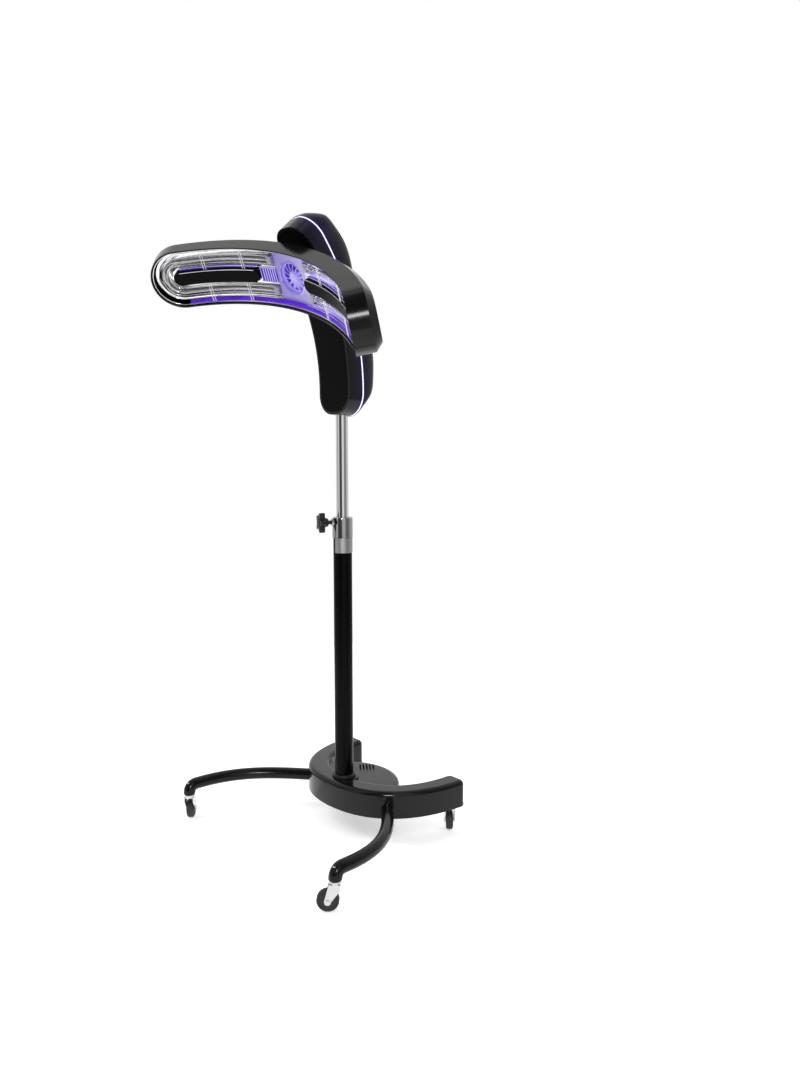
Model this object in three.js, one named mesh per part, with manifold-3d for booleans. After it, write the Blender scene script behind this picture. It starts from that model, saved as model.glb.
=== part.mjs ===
// Hair colour processor on a wheeled stand: a bowed infrared lamp arm that orbits
// in front of a curved head, on a telescopic mast over a horseshoe base.
// Millimetres, +Z up, the client sits on the -Y side.

import * as THREE from 'three';
import { mergeVertices } from 'three/addons/utils/BufferGeometryUtils.js';
import Module from 'manifold-3d';

const wasm = await Module();
wasm.setup();

const DEG = Math.PI / 180;

// Driving dimensions: clearances
const SEAT = 0.3;             // between pieces that touch
const RUNNING = 0.4;          // between pieces that turn or slide on each other

// Driving dimensions: casters
const WHEEL_RADIUS = 20;
const WHEEL_WIDTH = 15;
const WHEEL_SIDES = 16;
const AXLE_RADIUS = 2.4;
const CASTER_TRAIL = 13;
const CASTER_HEIGHT = 56.7;   // floor to the top of the swivel cap
const CAP_RADIUS = 11;
const CAP_HEIGHT = 6;
const FORK_PLATE = 2;
const STEM_RADIUS = 4.5;
const STEM_LENGTH = 24;
const LEADING_CASTER = -42 * DEG;
const TRAILING_CASTER = -132 * DEG;

// Driving dimensions: base
const PLATE_THICKNESS = 5;
const COVER_HEIGHT = 54;
const COVER_WALL = 3;
const COVER_ROUND = 10;
const COVER_FRONT = 41;       // mast axis to the front of the horseshoe
const RIDGE_WIDTH = 48;
const HORN_X = 188;           // outer edge of a horn's tip
const HORN_Y = 172;           // how far back the horns reach
const HORN_SHOULDER = 100;    // where the outer edge turns straight back
const HORN_CASTER_INSET = 24;
const DISC_RADIUS = 115;
const MAST_BOSS_RADIUS = 30;  // raised round under the column's foot ring
const DISC_DROP = 9;          // disc top below the ridge top
const VENT_COUNT = 5;
const VENT_PITCH = 7;
const VENT_WIDTH = 3.5;
const VENT_LENGTH = 47;
const VENT_X = -17;
const VENT_Y = 76;
const VENT_TURN = -38 * DEG;
const GLAND_RADIUS = 10;
const GLAND_BORE = 4;
const GLAND_FLANGE = 3;       // flange beyond the barrel
const GLAND_TAIL = 6;         // barrel beyond the cover's wall, inside
const GLAND_NOSE = 6;
const TRANSFORMER_SIZE = [72, 54, 24];
const TRANSFORMER_Y = 66;

// Driving dimensions: legs
const LEG_RADIUS = 12.5;
const LEG_WALL = 1.6;
const LEG_X = 252;            // caster stem of a leg
const LEG_Y = -222;
const LEG_ROOT = [84, 40];     // inner end of a leg, under the cover
const LEG_LEAD = [196, -44];   // where it heads from there
const LEG_SWEEP = -96;        // where it has turned to the front
const LEG_BEND = 18;          // turn-down at the tip
const LEG_CLEARANCE = 1;      // round a leg where it leaves the cover
const LEG_SIDES = 10;
const LEG_STEPS = 18;

// Driving dimensions: mast
const COLUMN_RADIUS = 19;
const COLUMN_WALL = 1.8;
const COLUMN_TOP = 632;
const TUBE_RADIUS = 12.5;
const TUBE_WALL = 1.5;
const TUBE_LOW = 372;         // lower end of the sliding tube as photographed
const COLLAR_RADIUS = 20.8;
const COLLAR_SKIRT = 20;      // overlap on the column
const COLLAR_HEAD = 22;       // solid part above the column
const BAND_HEIGHT = 30;
const BAND_THICKNESS = 0.8;
const BAND_OPENING = 100 * DEG;
const BAND_TURN = -138 * DEG;
const GUIDE_LENGTH = 46;
const PLUG_LENGTH = 30;
const PLUG_FLOOR = 6;
const FOOT_RING_HEIGHT = 7;
const FOOT_RING_WIDTH = 5;
const SOCKET_WALL = 4;
const SOCKET_HEIGHT = 26;
const SOCKET_FLANGE = 10;     // flange beyond the socket's wall
const SOCKET_FLOOR = 5;
const KNOB_AZIMUTH = 22 * DEG;
const KNOB_RADIUS = 21;
const KNOB_LOBES = 5;
const KNOB_DEPTH = 11;
const KNOB_REACH = 31;        // mast axis to the inner end of the knob
const SCREW_RADIUS = 4;
const BOSS_RADIUS = 7;
const BOSS_LENGTH = 3;

// Driving dimensions: lamp arm
const RIM_RADIUS = 383;       // bow radius of the arm's open side
const ARM_WIDTH = 117;
const ARM_DEPTH = 49;
const ARM_HALF = 304;         // half length along the rim
const ARM_WALL = 2.5;
const ARM_CHAMFER = 13;
const RUN_GAP = 7;            // between the arm's back and the head
const ORBIT_TILT = 31.4 * DEG;
const ORBIT_REST = 72.6 * DEG;
const FACE_DEPTH = 17;        // reflector face below the rim
const SHEET = 1.2;
const TROUGH_RADIUS = 17;
const TROUGH_FACETS = 8;
const TROUGH_LIP = 1;         // flat of a reflector outside its trough
const LAMP_RADIUS = 5.5;
const LAMP_DROP = 2;          // lamp's middle below the reflector face
const ISLAND_HEIGHT = 12;
const FAN_RADIUS = 29;
const FAN_BLADES = 9;
const FAN_SHAFT = 2;
const FAN_DEPTH = 10;
const FAN_MOTOR_RADIUS = 14;
const FAN_ZONE = 38;          // half length of the middle plate
const VENT_GRILLE_LENGTH = 36;
const SLAT_COUNT = 5;
const GRILLE_HEIGHT = 7;
const GUARD_WIRE = 1.2;
const GUARD_DEPTH = 5;
const GUARD_GAP = 1;          // guard rail to the inside of the arm's wall
const GUARD_STATIONS = [105, 190];
const LED_WIDTH = 4.6;
const LED_THICKNESS = 1.6;
const LED_GAP = 1.6;          // light strip to the reflector
const HOLDER_LENGTH = 10;
const HOLDER_WIDTH = 14;

// Driving dimensions: head
const TUBE_SETBACK = 18.5;    // front face of the head to the mast axis
const HEAD_Z = 904;           // level of the bow's centre
const BODY_WIDTH = 97;
const BODY_LOW = -45;         // lower end, along the front face from the bow's level
const BODY_HIGH = 326;
const BODY_WALL = 2.5;
const FRONT_DEPTH = 33;
const STRIP_THICKNESS = 3;
const STRIP_WIDTH = 5;
const LOBE_TOP = 46;          // back shell's depth at its upper lobe
const LOBE_WAIST = 27;
const LOBE_LOW = 38;
const BACK_INSET = 15;        // rounding of the back shell
const TUBE_SOCKET_HEIGHT = 60;
const TUBE_SOCKET_WALL = 2.5;
const TUBE_SOCKET_ROOF = 4;
const SOCKET_FOOT_THICKNESS = 4;
const SOCKET_FOOT = 58;       // width of the socket's foot on the front wall

// Driving dimensions: orbit drive
const FLANGE_RADIUS = 28;
const FLANGE_THICKNESS = 4.5;
const HUB_BOSS_RADIUS = 14;
const SHAFT_RADIUS = 10;
const WIRE_BORE = 6;
const BEARING_RADIUS = 18.4;
const BEARING_WIDTH = 9;
const HOUSING_RADIUS = 22;
const HOUSING_LIP = 3;
const GEAR_MODULE = 1.8;
const GEAR_TEETH = 32;
const PINION_TEETH = 12;
const GEAR_WIDTH = 8;
const BACKLASH = 0.45;
const MOTOR_RADIUS = 17;
const MOTOR_LENGTH = 21;
const MOTOR_SHAFT = 3;
const MOTOR_PAD = 4;          // pad under the motor, on the front wall
const NUT_RADIUS = 15;
const NUT_HEIGHT = 5;

// Driving dimensions: controls on the back of the head
const PANEL_WIDTH = 54;
const PANEL_FROM = 18;
const PANEL_TO = 158;
const PANEL_THICKNESS = 3.2;
const BUTTON_RADIUS = 6.5;
const BUTTON_RISE = 1.8;
const BUTTON_TRAVEL = 1;
const BUTTON_CLEARANCE = 1;   // under a pressed button, over the curved shell
const BUTTON_COLUMN = 12;     // button centres from the middle line
const BUTTON_ROWS = [44, 66];
const POWER_BUTTON_AT = 88;
const DISPLAY_FROM = 104;
const DISPLAY_TO = 142;
const DISPLAY_WIDTH = 38;
const BOARD_SIZE = [64, 1.6, 92];
const BOARD_AT = 92;
const RELAY_SIZE = [18, 14, 22];
const MODULE_SIZE = [30, 11, 34];

// Sizes that follow
const BASE_UNDERSIDE = CASTER_HEIGHT + SEAT;
const PLATE_TOP = BASE_UNDERSIDE + SEAT + PLATE_THICKNESS;
const COVER_TOP = BASE_UNDERSIDE + COVER_HEIGHT;
const LEG_Z = PLATE_TOP + SEAT + LEG_RADIUS;
const COLLAR_TOP = COLUMN_TOP + SEAT + COLLAR_HEAD;
const CLAMP_Z = COLUMN_TOP + SEAT + COLLAR_HEAD / 2;
const BODY_RADIUS = RIM_RADIUS + ARM_DEPTH + RUN_GAP;
const HEAD_Y = -(BODY_RADIUS + TUBE_SETBACK);
const SPLIT = FRONT_DEPTH + SEAT;
const BACK_START = SPLIT + STRIP_THICKNESS + SEAT;
const END_CENTRE = ARM_HALF - ARM_WIDTH / 2;
const REFLECTOR_WIDTH = ARM_WIDTH - 2 * (ARM_WALL + SEAT + LED_WIDTH + LED_GAP);
const LAMP_SPREAD = REFLECTOR_WIDTH / 2 - TROUGH_LIP - TROUGH_RADIUS;  // lamp from the middle line
const LAMP_DEPTH = FACE_DEPTH + LAMP_DROP;
const ISLAND_WIDTH = 2 * (LAMP_SPREAD - TROUGH_RADIUS);
const ISLAND_TOP = FACE_DEPTH - SEAT - ISLAND_HEIGHT;
const TROUGH_DEPTH = ARM_DEPTH - ARM_WALL - SEAT - SHEET - TROUGH_RADIUS;

// Materials
function finish(color, roughness, metalness) {
  return new THREE.MeshStandardMaterial({ color, roughness, metalness });
}
const gloss_black = () => finish(0x101012, 0.18, 0);
const satin_black = () => finish(0x1b1b1d, 0.45, 0);
const black_paint = () => finish(0x0c0c0d, 0.25, 0.1);
const chrome = () => finish(0xd8dade, 0.08, 1);
const steel = () => finish(0x9a9ca0, 0.35, 1);
const aluminium = () => finish(0xb9bbbe, 0.4, 1);
const rubber = () => finish(0x141414, 0.8, 0);
const nylon = () => finish(0xe6e4dc, 0.5, 0);
const glass = () => finish(0xf1f0f6, 0.05, 0);
const violet_light = () => finish(0x6a48ff, 0.4, 0);
const board_green = () => finish(0x1f5a38, 0.5, 0);

// Solids
function bare(geometry) {
  const loose = geometry.index ? geometry.toNonIndexed() : geometry.clone();
  const kept = new THREE.BufferGeometry();
  kept.setAttribute('position', loose.getAttribute('position'));
  return mergeVertices(kept, 1e-4);
}

function triangles(geometry) {
  const index = geometry.index.array;
  const kept = [];
  for (let i = 0; i < index.length; i += 3) {
    const [a, b, c] = [index[i], index[i + 1], index[i + 2]];
    if (a !== b && b !== c && c !== a) kept.push(a, b, c);
  }
  return kept;
}

function signedVolume(position, index) {
  const [a, b, c] = [new THREE.Vector3(), new THREE.Vector3(), new THREE.Vector3()];
  let sum = 0;
  for (let i = 0; i < index.length; i += 3) {
    a.fromBufferAttribute(position, index[i]);
    b.fromBufferAttribute(position, index[i + 1]);
    c.fromBufferAttribute(position, index[i + 2]);
    sum += a.dot(b.cross(c));
  }
  return sum;
}

function solid(geometry) {
  const welded = bare(geometry);
  const position = welded.getAttribute('position');
  const index = triangles(welded);
  if (signedVolume(position, index) < 0) index.reverse();
  return new wasm.Manifold(new wasm.Mesh({
    numProp: 3,
    vertProperties: new Float32Array(position.array),
    triVerts: new Uint32Array(index),
  }));
}

function joined(first, ...others) {
  return others.reduce((sum, next) => sum.add(next), first);
}

function without(first, ...others) {
  return others.reduce((rest, next) => rest.subtract(next), first);
}

function place(group, name, form, material) {
  const mesh = form.getMesh();
  const geometry = new THREE.BufferGeometry();
  geometry.setAttribute('position', new THREE.BufferAttribute(mesh.vertProperties, 3));
  geometry.setIndex(new THREE.BufferAttribute(mesh.triVerts, 1));
  const piece = new THREE.Mesh(geometry, material);
  piece.name = name;
  group.add(piece);
  return piece;
}

// Turned pieces: profile points are [radius, height], around +Z
function turned(profile, sides) {
  const points = profile.map(([radius, height]) => new THREE.Vector2(radius, height));
  return new THREE.LatheGeometry(points, sides).rotateX(Math.PI / 2);
}

function rod(radius, low, high, sides = 16) {
  return turned([[0, low], [radius, low], [radius, high], [0, high]], sides);
}

// A hole's facets stand outside its radius
function hole(radius, low, high, sides) {
  return rod(radius / Math.cos(Math.PI / sides), low, high, sides);
}

function ring(inner, outer, low, high, sides = 20) {
  return turned([[inner, low], [outer, low], [outer, high], [inner, high], [inner, low]], sides);
}

// Around the orbit axis, which is +Y from the bow's centre
function onOrbit(geometry) {
  return geometry.rotateX(-Math.PI / 2);
}

function block(size, centre) {
  return new THREE.BoxGeometry(...size).translate(...centre);
}

function polygon(radius, sides) {
  const shape = new THREE.Shape();
  shape.absarc(0, 0, radius, 0, 2 * Math.PI);
  return new THREE.Shape(shape.getSpacedPoints(sides).slice(0, sides));
}

function sweep(curve, radius, sides, steps) {
  return new THREE.ExtrudeGeometry(polygon(radius, sides), { steps, extrudePath: curve });
}

function prism(shape, depth, curveSegments = 12) {
  return new THREE.ExtrudeGeometry(shape, { depth, bevelEnabled: false, curveSegments });
}

// Bowed pieces: along is the way round the bow, across its width, depth the way out
function bowed(radius, along, across, depth) {
  const angle = along / radius;
  const reach = radius + depth;
  return new THREE.Vector3(across, reach * Math.cos(angle), reach * Math.sin(angle));
}

// A section swept along a route on the bow. Route points are (along, across), and
// section points are [sideways, depth], sideways to the left of the route.
function bowSweep(radius, route, section, closed = false) {
  const last = route.length - 1;
  const points = [];
  const loop = [...section, section[0]];
  const ahead = (k) => {
    const next = closed ? route[(k + 1) % last] : route[Math.min(k + 1, last)];
    const before = closed ? route[(k - 1 + last) % last] : route[Math.max(k - 1, 0)];
    return next.clone().sub(before).normalize();
  };
  const set = (k, sideways, depth) => {
    const way = ahead(k);
    const { x, y } = route[k];
    return bowed(radius, x - way.y * sideways, y + way.x * sideways, depth);
  };
  route.forEach((point, k) => {
    points.push(...loop.map(([sideways, depth]) => set(k, sideways, depth)));
  });
  return closed ? quads(points, route.length, loop.length) : capped(points, route.length, loop.length);
}

function quads(points, rows, columns) {
  const index = [];
  for (let row = 0; row + 1 < rows; row += 1) {
    for (let column = 0; column + 1 < columns; column += 1) {
      const corner = row * columns + column;
      index.push(corner, corner + 1, corner + columns + 1);
      index.push(corner, corner + columns + 1, corner + columns);
    }
  }
  const geometry = new THREE.BufferGeometry().setFromPoints(points);
  geometry.setIndex(index);
  return geometry;
}

// A swept grid with both ends closed by flat faces
function capped(points, rows, columns) {
  const geometry = quads(points, rows, columns);
  const index = [...geometry.index.array];
  for (const row of [0, rows - 1]) {
    const first = row * columns;
    const flat = points.slice(first, first + columns - 1);
    for (const face of flatFaces(flat)) {
      const [a, b, c] = face.map((corner) => first + corner);
      if (row === 0) index.push(a, b, c);
      else index.push(c, b, a);
    }
  }
  geometry.setIndex(index);
  return geometry;
}

// Triangles over a flat outline, wound against the sweep's first ring
function flatFaces(outline) {
  const [a, b] = [outline[0], outline[1]];
  const normal = new THREE.Vector3();
  outline.forEach((point, k) => {
    normal.add(new THREE.Vector3().crossVectors(point, outline[(k + 1) % outline.length]));
  });
  normal.normalize();
  const right = b.clone().sub(a).normalize();
  const up = new THREE.Vector3().crossVectors(normal, right);
  const plane = outline.map((point) => new THREE.Vector2(point.dot(right), point.dot(up)));
  return THREE.ShapeUtils.triangulateShape(plane, []).map(([i, j, k]) => [k, j, i]);
}

// Stations along a bowed pill: straight run in even steps, round ends in even angles
function stations(from, to, half, steps, endSteps) {
  const list = [];
  for (let k = endSteps; k > 0; k -= 1) {
    list.push({ middle: from + half, turn: -90 * DEG * (k / endSteps) });
  }
  for (let k = 0; k <= steps; k += 1) {
    list.push({ middle: from + half + (to - from - 2 * half) * (k / steps), turn: 0 });
  }
  for (let k = 1; k <= endSteps; k += 1) {
    list.push({ middle: to - half, turn: 90 * DEG * (k / endSteps) });
  }
  return list;
}

// A pill with round ends, bent round the bow. Each layer is [inset, depth], where
// depth may follow the place along the bow.
function bowPill({ radius, from, to, width, layers, steps = 12, endSteps = 4 }) {
  const half = width / 2;
  const list = stations(from, to, half, steps, endSteps);
  const points = [];
  const edge = (station, [inset, depth], side) => {
    const reach = half - inset;
    const along = station.middle + reach * Math.sin(station.turn);
    const out = typeof depth === 'function' ? depth(along) : depth;
    return bowed(radius, along, side * reach * Math.cos(station.turn), out);
  };
  for (const station of list) {
    points.push(edge(station, layers[0], -1));
    for (const layer of layers) points.push(edge(station, layer, 1));
    for (const layer of [...layers].reverse()) points.push(edge(station, layer, -1));
  }
  return quads(points, list.length, 2 * layers.length + 1);
}

// A strip with square ends, bent round the bow
function bowStrip({ radius, from, to, left, right, near, far, steps = 10 }) {
  const points = [];
  const corners = [[left, near], [right, near], [right, far], [left, far], [left, near]];
  const middle = [(left + right) / 2, (near + far) / 2];
  const loop = (along) => corners.map(([across, depth]) => bowed(radius, along, across, depth));
  const hub = (along) => corners.map(() => bowed(radius, along, ...middle));
  points.push(...hub(from));
  for (let k = 0; k <= steps; k += 1) points.push(...loop(from + (to - from) * (k / steps)));
  points.push(...hub(to));
  return quads(points, steps + 3, corners.length);
}

// Base

// One half of the horseshoe's edge, from the middle of the front to a horn's tip
function horseshoeEdge(inset) {
  const front = new THREE.Vector2(0, inset - COVER_FRONT);
  const tip = new THREE.Vector2(HORN_X - inset, HORN_Y);
  const lead = new THREE.Vector2(tip.x * 0.88, front.y);
  const shoulder = new THREE.Vector2(tip.x, HORN_SHOULDER);
  return new THREE.CubicBezierCurve(front, lead, shoulder, tip);
}

// The whole edge, from the left horn's tip round the front to the right one's
function wholeEdge(inset, points) {
  const right = horseshoeEdge(inset).getPoints(points);
  const left = right.slice(1).map(({ x, y }) => new THREE.Vector2(-x, y));
  return [...left.reverse(), ...right];
}

function horseshoe(inset) {
  const outer = wholeEdge(inset, 10);
  const inner = wholeEdge(RIDGE_WIDTH - inset, 7).reverse();
  const back = (point) => new THREE.Vector2(point.x, Math.min(point.y, HORN_Y - inset));
  return new THREE.Shape([...outer, ...inner].map(back));
}

// All that lies in front of the middle of the ridge
function frontOfRidge(inset) {
  const far = 3 * HORN_X;
  const corners = [[far, HORN_Y], [far, -far], [-far, -far], [-far, HORN_Y]];
  const edge = wholeEdge(inset + RIDGE_WIDTH / 2, 10);
  const outline = [...edge, ...corners.map((corner) => new THREE.Vector2(...corner))];
  return solid(prism(new THREE.Shape(outline), 2 * COVER_TOP));
}

function ridge(inset, round, low, high) {
  const form = new THREE.ExtrudeGeometry(horseshoe(inset), {
    depth: high - low - round,
    bevelEnabled: true,
    bevelThickness: round,
    bevelSize: round,
    bevelOffset: -round,
    bevelSegments: 2,
  });
  const below = block([4 * HORN_X, 4 * HORN_Y, 2 * round], [0, 0, low - round]);
  return without(solid(form.translate(0, 0, low)), solid(below));
}

// Round of the cover behind the mast, inside the horseshoe
function disc(inset, low, high) {
  const reach = DISC_RADIUS - inset;
  const profile = [
    [0, low],
    [reach, low],
    [reach, high - 6],
    [reach - 3, high - 2],
    [reach - 9, high],
    [0, high],
  ];
  return without(solid(turned(profile, 30)), frontOfRidge(inset));
}

// A leg's centre line, on the right for side 1 and on the left for side -1
function legPath(side) {
  const at = (x, y, z = LEG_Z) => new THREE.Vector3(side * x, y, z);
  const [inner, bend, forward] = [at(...LEG_ROOT), at(...LEG_LEAD), at(LEG_X, LEG_SWEEP)];
  const tip = at(LEG_X, LEG_Y + LEG_BEND);
  const corner = at(LEG_X, LEG_Y);
  const down = at(LEG_X, LEG_Y, LEG_Z - LEG_BEND);
  const path = new THREE.CurvePath();
  path.add(new THREE.CubicBezierCurve3(inner, bend, forward, tip));
  path.add(new THREE.QuadraticBezierCurve3(tip, corner, down));
  return path;
}

function leg(side) {
  const path = legPath(side);
  const run = path.curves[0];
  const outer = solid(sweep(path, LEG_RADIUS, LEG_SIDES, LEG_STEPS));
  const bore = solid(sweep(run, LEG_RADIUS - LEG_WALL, 6, LEG_STEPS - 8));
  const end = LEG_Z - LEG_BEND;
  const stub = rod(LEG_RADIUS, BASE_UNDERSIDE, end + 1, LEG_SIDES).translate(side * LEG_X, LEG_Y, 0);
  const stem = stemHole().translate(side * LEG_X, LEG_Y, 0);
  return without(joined(outer, solid(stub)), bore, solid(stem));
}

function stemHole() {
  return hole(STEM_RADIUS + SEAT, BASE_UNDERSIDE - 1, CASTER_HEIGHT + STEM_LENGTH + SEAT, 8);
}

function hornCaster(side) {
  return [side * (HORN_X - RIDGE_WIDTH / 2), HORN_Y - HORN_CASTER_INSET];
}

function baseCover() {
  const skin = joined(
    ridge(0, COVER_ROUND, BASE_UNDERSIDE, COVER_TOP),
    disc(0, BASE_UNDERSIDE, COVER_TOP - DISC_DROP),
    solid(rod(MAST_BOSS_RADIUS, COVER_TOP - DISC_DROP - COVER_WALL, COVER_TOP, 24)),
  );
  const roof = COVER_TOP - COVER_WALL;
  const hollow = joined(
    ridge(COVER_WALL, COVER_ROUND, BASE_UNDERSIDE - COVER_ROUND, roof),
    disc(COVER_WALL, BASE_UNDERSIDE - COVER_ROUND, roof - DISC_DROP),
  );
  const mastHole = solid(rod(COLUMN_RADIUS + RUNNING, BASE_UNDERSIDE, COVER_TOP + 1, 20));
  const legHole = (side) => {
    const run = legPath(side).curves[0];
    return solid(sweep(run, LEG_RADIUS + LEG_CLEARANCE, LEG_SIDES, LEG_STEPS - 6));
  };
  const vents = [];
  for (let k = 0; k < VENT_COUNT; k += 1) {
    const offset = (k - (VENT_COUNT - 1) / 2) * VENT_PITCH;
    const slot = block([VENT_LENGTH, VENT_WIDTH, 2 * COVER_HEIGHT], [0, offset, COVER_TOP]);
    vents.push(solid(slot.rotateZ(VENT_TURN).translate(VENT_X, VENT_Y, 0)));
  }
  const glandHole = solid(glandBarrel(GLAND_RADIUS - GLAND_FLANGE + RUNNING));
  return without(skin, hollow, mastHole, legHole(1), legHole(-1), glandHole, ...vents);
}

function glandBarrel(radius) {
  const outside = DISC_RADIUS + 1;
  const barrel = rod(radius, -outside, COVER_WALL + GLAND_TAIL - outside, 16);
  return barrel.rotateX(Math.PI / 2).translate(0, 0, glandHeight());
}

function glandHeight() {
  return (BASE_UNDERSIDE + COVER_TOP - DISC_DROP) / 2;
}

// Cord gland in the back wall of the cover: a flanged bush with an open bore
function cordGland() {
  const face = DISC_RADIUS + SEAT;
  const barrel = GLAND_RADIUS - GLAND_FLANGE;
  const tail = -COVER_WALL - GLAND_TAIL;
  const profile = [
    [GLAND_BORE, tail],
    [barrel, tail],
    [barrel, 0],
    [GLAND_RADIUS, 0],
    [GLAND_RADIUS, GLAND_NOSE - 2],
    [GLAND_RADIUS - 2, GLAND_NOSE],
    [GLAND_BORE, GLAND_NOSE],
    [GLAND_BORE, tail],
  ];
  const bush = turned(profile, 16).rotateX(-Math.PI / 2);
  return solid(bush.translate(0, face, glandHeight()));
}

function basePlate() {
  const inset = COVER_WALL + RUNNING;
  const low = BASE_UNDERSIDE + SEAT;
  const flat = prism(horseshoe(inset), PLATE_THICKNESS).translate(0, 0, low);
  const round = solid(rod(DISC_RADIUS - inset, low, PLATE_TOP, 30));
  let plate = joined(solid(flat), without(round, frontOfRidge(inset)));
  for (const side of [-1, 1]) {
    const [x, y] = hornCaster(side);
    const boss = rod(STEM_RADIUS + 4, PLATE_TOP - 1, CASTER_HEIGHT + STEM_LENGTH, 10).translate(x, y, 0);
    plate = without(joined(plate, solid(boss)), solid(stemHole().translate(x, y, 0)));
  }
  const wire = solid(rod(WIRE_BORE, low - 1, PLATE_TOP + 1, 8));
  return without(plate, wire);
}

function mastSocket() {
  const low = PLATE_TOP + SEAT;
  const inner = COLUMN_RADIUS + SEAT;
  const outer = inner + SOCKET_WALL;
  const flange = low + SOCKET_FLOOR;
  return solid(turned([
    [WIRE_BORE, low],
    [outer + SOCKET_FLANGE, low],
    [outer + SOCKET_FLANGE, flange],
    [outer, flange],
    [outer, low + SOCKET_HEIGHT],
    [inner, low + SOCKET_HEIGHT],
    [inner, flange],
    [WIRE_BORE, flange],
    [WIRE_BORE, low],
  ], 24));
}

// Transformer: laminated core with a winding bobbin, standing on the plate
function transformer() {
  const [length, width, height] = TRANSFORMER_SIZE;
  const low = PLATE_TOP + SEAT;
  const core = block([length, width * 0.6, height], [0, TRANSFORMER_Y, low + height / 2]);
  const coil = block([length * 0.6, width, height * 0.8], [0, TRANSFORMER_Y, low + height * 0.5]);
  const foot = block([length + 16, width * 0.6, 2], [0, TRANSFORMER_Y, low + 1]);
  return joined(solid(core), solid(coil), solid(foot));
}

function addBase(group) {
  place(group, 'base_cover', baseCover(), gloss_black());
  place(group, 'base_plate', basePlate(), steel());
  place(group, 'mast_socket', mastSocket(), steel());
  place(group, 'transformer', transformer(), steel());
  place(group, 'cord_gland', cordGland(), rubber());
  place(group, 'right_leg', leg(1), black_paint());
  place(group, 'left_leg', leg(-1), black_paint());
}

// Casters: the stem is at the local origin, the wheel trails along local -Y
function casterFork() {
  const inside = WHEEL_WIDTH / 2 + 1;
  const crown = CASTER_HEIGHT - CAP_HEIGHT;
  const cheek = new THREE.Shape();
  cheek.moveTo(-CAP_RADIUS, crown);
  cheek.lineTo(-CASTER_TRAIL - 6, WHEEL_RADIUS + 2);
  cheek.absarc(-CASTER_TRAIL, WHEEL_RADIUS, 6, Math.PI, 2 * Math.PI);
  cheek.lineTo(CAP_RADIUS - 2, crown - 10);
  cheek.lineTo(CAP_RADIUS - 2, crown);
  const side = (x) => {
    const sheet = prism(cheek, FORK_PLATE, 4).rotateX(Math.PI / 2).rotateZ(Math.PI / 2);
    return solid(sheet.translate(x, 0, 0));
  };
  const bridge = block(
    [2 * (inside + FORK_PLATE), 2 * CAP_RADIUS - 2, FORK_PLATE],
    [0, -1, crown - FORK_PLATE / 2],
  );
  const cap = turned([
    [0, crown - 0.5],
    [CAP_RADIUS, crown - 0.5],
    [CAP_RADIUS, CASTER_HEIGHT - 2],
    [CAP_RADIUS - 2, CASTER_HEIGHT],
    [STEM_RADIUS, CASTER_HEIGHT],
    [STEM_RADIUS, CASTER_HEIGHT + STEM_LENGTH],
    [0, CASTER_HEIGHT + STEM_LENGTH],
  ], 10);
  return joined(side(inside), side(-inside - FORK_PLATE), solid(bridge), solid(cap), casterAxle());
}

function casterWheel() {
  const half = WHEEL_WIDTH / 2;
  const tread = WHEEL_RADIUS / Math.cos(Math.PI / WHEEL_SIDES);
  const bore = AXLE_RADIUS + RUNNING;
  const profile = [
    [bore, -half],
    [8, -half],
    [tread - 5, -half + 2],
    [tread - 3, -half],
    [tread, -half + 2.5],
    [tread, half - 2.5],
    [tread - 3, half],
    [tread - 5, half - 2],
    [8, half],
    [bore, half],
    [bore, -half],
  ];
  const wheel = turned(profile, WHEEL_SIDES).rotateZ(Math.PI / WHEEL_SIDES).rotateY(Math.PI / 2);
  return solid(wheel.translate(0, -CASTER_TRAIL, WHEEL_RADIUS));
}

// Axle riveted into the fork's cheeks
function casterAxle() {
  const outside = WHEEL_WIDTH / 2 + 1 + FORK_PLATE;
  const head = 1.6;
  const profile = [
    [0, -outside - head],
    [AXLE_RADIUS + 1.6, -outside - head],
    [AXLE_RADIUS + 1.6, -outside],
    [AXLE_RADIUS, -outside],
    [AXLE_RADIUS, outside],
    [AXLE_RADIUS + 1.6, outside],
    [AXLE_RADIUS + 1.6, outside + head],
    [0, outside + head],
  ];
  const pin = turned(profile, 8).rotateY(Math.PI / 2);
  return solid(pin.translate(0, -CASTER_TRAIL, WHEEL_RADIUS));
}

function addCaster(group, name, [x, y], heading) {
  const caster = new THREE.Group();
  caster.position.set(x, y, 0);
  caster.rotation.z = heading;
  place(caster, `${name}_caster_fork`, casterFork(), chrome());
  place(caster, `${name}_caster_wheel`, casterWheel(), rubber());
  group.add(caster);
}

function addCasters(group) {
  addCaster(group, 'front_right', [LEG_X, LEG_Y], LEADING_CASTER);
  addCaster(group, 'front_left', [-LEG_X, LEG_Y], TRAILING_CASTER);
  addCaster(group, 'rear_right', hornCaster(1), TRAILING_CASTER);
  addCaster(group, 'rear_left', hornCaster(-1), TRAILING_CASTER);
}

// Mast
function clampCollar() {
  const bore = TUBE_RADIUS + RUNNING;
  const skirt = COLUMN_RADIUS + SEAT;
  const low = COLUMN_TOP - COLLAR_SKIRT;
  const body = turned([
    [skirt, low],
    [COLLAR_RADIUS, low],
    [COLLAR_RADIUS, COLLAR_TOP - 4],
    [COLLAR_RADIUS - 1.2, COLLAR_TOP - 1.2],
    [COLLAR_RADIUS - 4, COLLAR_TOP],
    [bore, COLLAR_TOP],
    [bore, COLUMN_TOP + SEAT],
    [skirt, COLUMN_TOP + SEAT],
    [skirt, low],
  ], 20);
  const boss = towardKnob(rod(BOSS_RADIUS, bore + 3, COLLAR_RADIUS + BOSS_LENGTH, 12));
  const thread = towardKnob(rod(SCREW_RADIUS + RUNNING, 0, COLLAR_RADIUS + BOSS_LENGTH + 1, 8));
  return without(joined(solid(body), solid(boss)), solid(thread));
}

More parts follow.
